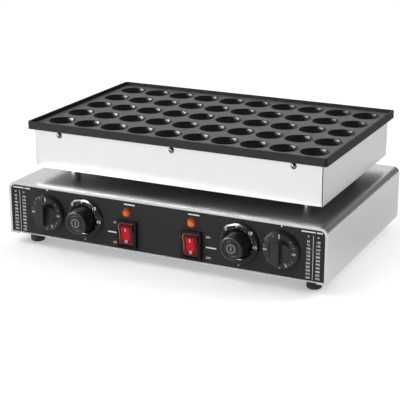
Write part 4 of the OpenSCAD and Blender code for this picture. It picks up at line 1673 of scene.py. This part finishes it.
@dataclass(frozen=True)
class GlowPanel:
    """A bright panel of the room, which only mirroring surfaces show."""

    aim: Triple
    width: float
    height: float
    strength: float
    soft: float = 0.08
    before: Pair = (0.2, 0.1)

    def glow(self, axes: Sequence[Value]) -> Value:
        """Light that the panel adds to a direction.

        Args:
            axes: the direction's three parts.

        Returns:
            The panel's strength inside its edges, and 0 outside them.
        """
        ahead = Vector(self.aim).normalized()
        aside = ahead.cross(Vector((0.0, 0.0, 1.0))).normalized()
        near, across, along = (
            sum((axis * part for axis, part in zip(axes, way)), 0.0)
            for way in (ahead, aside, aside.cross(ahead))
        )
        inside = abs(across).below(self.width / 2, self.soft) * abs(along).below(self.height / 2, self.soft)
        return inside * near.above(*self.before) * self.strength


@dataclass
class Studio:
    """Floor, sky, lamps and the camera at the photograph's viewing angle, with its turns in radians."""

    place: Triple = (0.751772, -1.590882, 0.628914)
    yaw: float = 0.447452
    pitch: float = 0.314099
    lens: float = 108.755
    sensor: float = 36.0
    clip: Pair = (0.05, 60.0)
    floor_size: float = 24.0
    floor_z: float = -0.0003
    floor_shades: tuple[Colour, Colour] = ((0.86, 0.86, 0.86), (0.88, 0.88, 0.88))
    seen_share: float = 0.2
    mirrored_share: float = 0.5
    floor_glow: float = 1.08
    near_glow: float = 0.3
    far_glow: float = 0.6
    far_edge: Pair = (800.0, 700.0)
    # How much dimmer the painted shadow beside the object makes the floor in reflections.
    beside_dim: float = 0.5
    beside_x: Pair = (260.0, 80.0)
    beside_y: Pair = (0.0, 300.0)
    sky: float = 0.80
    backdrop: float = 1.0
    backdrop_edges: tuple[Pair, Pair, Pair] = ((-0.05, 0.3), (0.15, 0.5), (0.5, 0.3))
    dim: float = 0.22
    lamps: tuple[Lamp, ...] = (
        Lamp("key_strip", (-0.6, -0.95, 1.45), (1.7, 0.35), 13.0),
        Lamp("right_fill", (1.6, 0.8, 1.2), (1.2, 0.8), 20.0),
        Lamp("ring_spark", (-0.62, -1.2, 0.78), (0.5, 0.9), 130.0, True, tuple(both("timer_bezel"))),
    )
    panels: tuple[GlowPanel, ...] = (
        GlowPanel((-0.40, -0.88, 0.25), 0.50, 0.20, 14.0),
        GlowPanel((-0.58, -0.66, 0.48), 0.34, 0.20, 22.0),
        GlowPanel((-0.76, -0.50, 0.42), 0.34, 0.24, 30.0),
        GlowPanel((-0.88, -0.30, 0.36), 0.34, 0.24, 30.0),
    )

    def build(self) -> None:
        """Sets the camera, the floor, the sky and the lamps."""
        self.camera()
        self.floor()
        self.world()
        for lamp in self.lamps:
            self.light(lamp)
        bpy.context.scene.view_settings.view_transform = "Standard"

    def camera(self) -> None:
        """Puts the camera where the photograph was taken from."""
        Bench.clear()
        bpy.ops.object.camera_add(location=self.place, rotation=(math.pi / 2 - self.pitch, 0.0, self.yaw))
        camera = Bench.active()
        camera.name = "photo_camera"
        camera.data.lens = self.lens
        camera.data.sensor_width = self.sensor
        camera.data.clip_start, camera.data.clip_end = self.clip
        bpy.context.scene.camera = camera

    def floor(self) -> None:
        """Lays a pale floor that stays white to the camera and keeps the shadow; to the right of the object
        and behind it, reflections show a painted shadow.
        """
        Bench.clear()
        bpy.ops.mesh.primitive_plane_add(size=self.floor_size, location=(0.0, 0.0, self.floor_z))
        floor = Bench.active()
        floor.name = "floor"
        recipe = Recipe("floor_white")
        pale = recipe.mix(recipe.noise(40.0, detail=2), *self.floor_shades)
        recipe.surface(base_color=pale, roughness=0.9, specular_ior_level=0.1)
        seen, mirrored, through = recipe.rays()
        share = seen * self.seen_share + (mirrored + through) * self.mirrored_share
        # To the right of the object and behind it, mirrored rays see a dimmer floor: a painted shadow for
        # the base's right side to reflect.
        beside = recipe.x.above(*self.beside_x) * recipe.y.above(*self.beside_y)
        far = recipe.x.hypot(recipe.y).above(*self.far_edge)
        lift = seen * (self.near_glow + far * self.far_glow)
        strength = self.floor_glow + lift - beside * mirrored * self.beside_dim
        glow = recipe.node("ShaderNodeEmission", None, {"Color": WHITE, "Strength": strength})
        mixed = recipe.node(
            "ShaderNodeMixShader", None, {0: share, 1: recipe.shader.outputs[0], 2: glow.outputs[0]}
        )
        recipe.feed(recipe.found("OUTPUT_MATERIAL").inputs["Surface"], mixed.outputs[0])
        floor.data.materials.append(recipe.material)

    def world(self) -> None:
        """Is white where it is seen, and mirrored as a white wall behind and a dim room before."""
        world = bpy.data.worlds.new("studio_white")
        world.use_nodes = True
        sky = Tree(world.node_tree)
        seen, mirrored, through = sky.rays()
        axes = sky.axes(sky.node("ShaderNodeTexCoord").outputs["Generated"])
        left, back, low = self.backdrop_edges
        behind = axes[0].below(*left) * axes[1].above(*back) * axes[2].below(*low)
        mirror = sum((panel.glow(axes) for panel in self.panels), behind.between(self.dim, self.backdrop))
        plain = 1 - seen - mirrored - through
        strength = seen + through + mirrored * mirror + plain.math("MAXIMUM", plain, 0.0) * self.sky
        background = sky.found("BACKGROUND")
        sky.feed(background.inputs["Color"], WHITE)
        sky.feed(background.inputs["Strength"], strength)
        bpy.context.scene.world = world

    def light(self, lamp: Lamp) -> None:
        """Hangs one soft lamp and turns it to its target.

        Args:
            lamp: the lamp.
        """
        Bench.clear()
        bpy.ops.object.light_add(type="AREA", location=lamp.place)
        light = Bench.active()
        light.name = lamp.name
        light.data.shape = "RECTANGLE"
        light.data.size, light.data.size_y = lamp.size
        light.data.energy = lamp.watts
        light.visible_glossy = lamp.mirrored
        if lamp.only_on:
            lit = bpy.data.collections.new(f"{lamp.name}_receivers")
            for node in lamp.only_on:
                lit.objects.link(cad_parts[node])
            light.light_linking.receiver_collection = lit
        aim = Vector(lamp.target) - Vector(lamp.place)
        light.rotation_euler = aim.to_track_quat("-Z", "Y").to_euler()


def main() -> None:
    """Builds the studio and the sub-assemblies in order."""
    logging.basicConfig(level=logging.INFO, format="%(name)s: %(message)s")
    for part in (
        Studio(), BakingTop(), Supports(), Housing(), ControlPanel(),
        Thermostats(), Timers(), PowerSwitches(), PilotLamps(),
    ):
        part.build()
    Bench.clear()


if __name__ == "__main__":
    main()
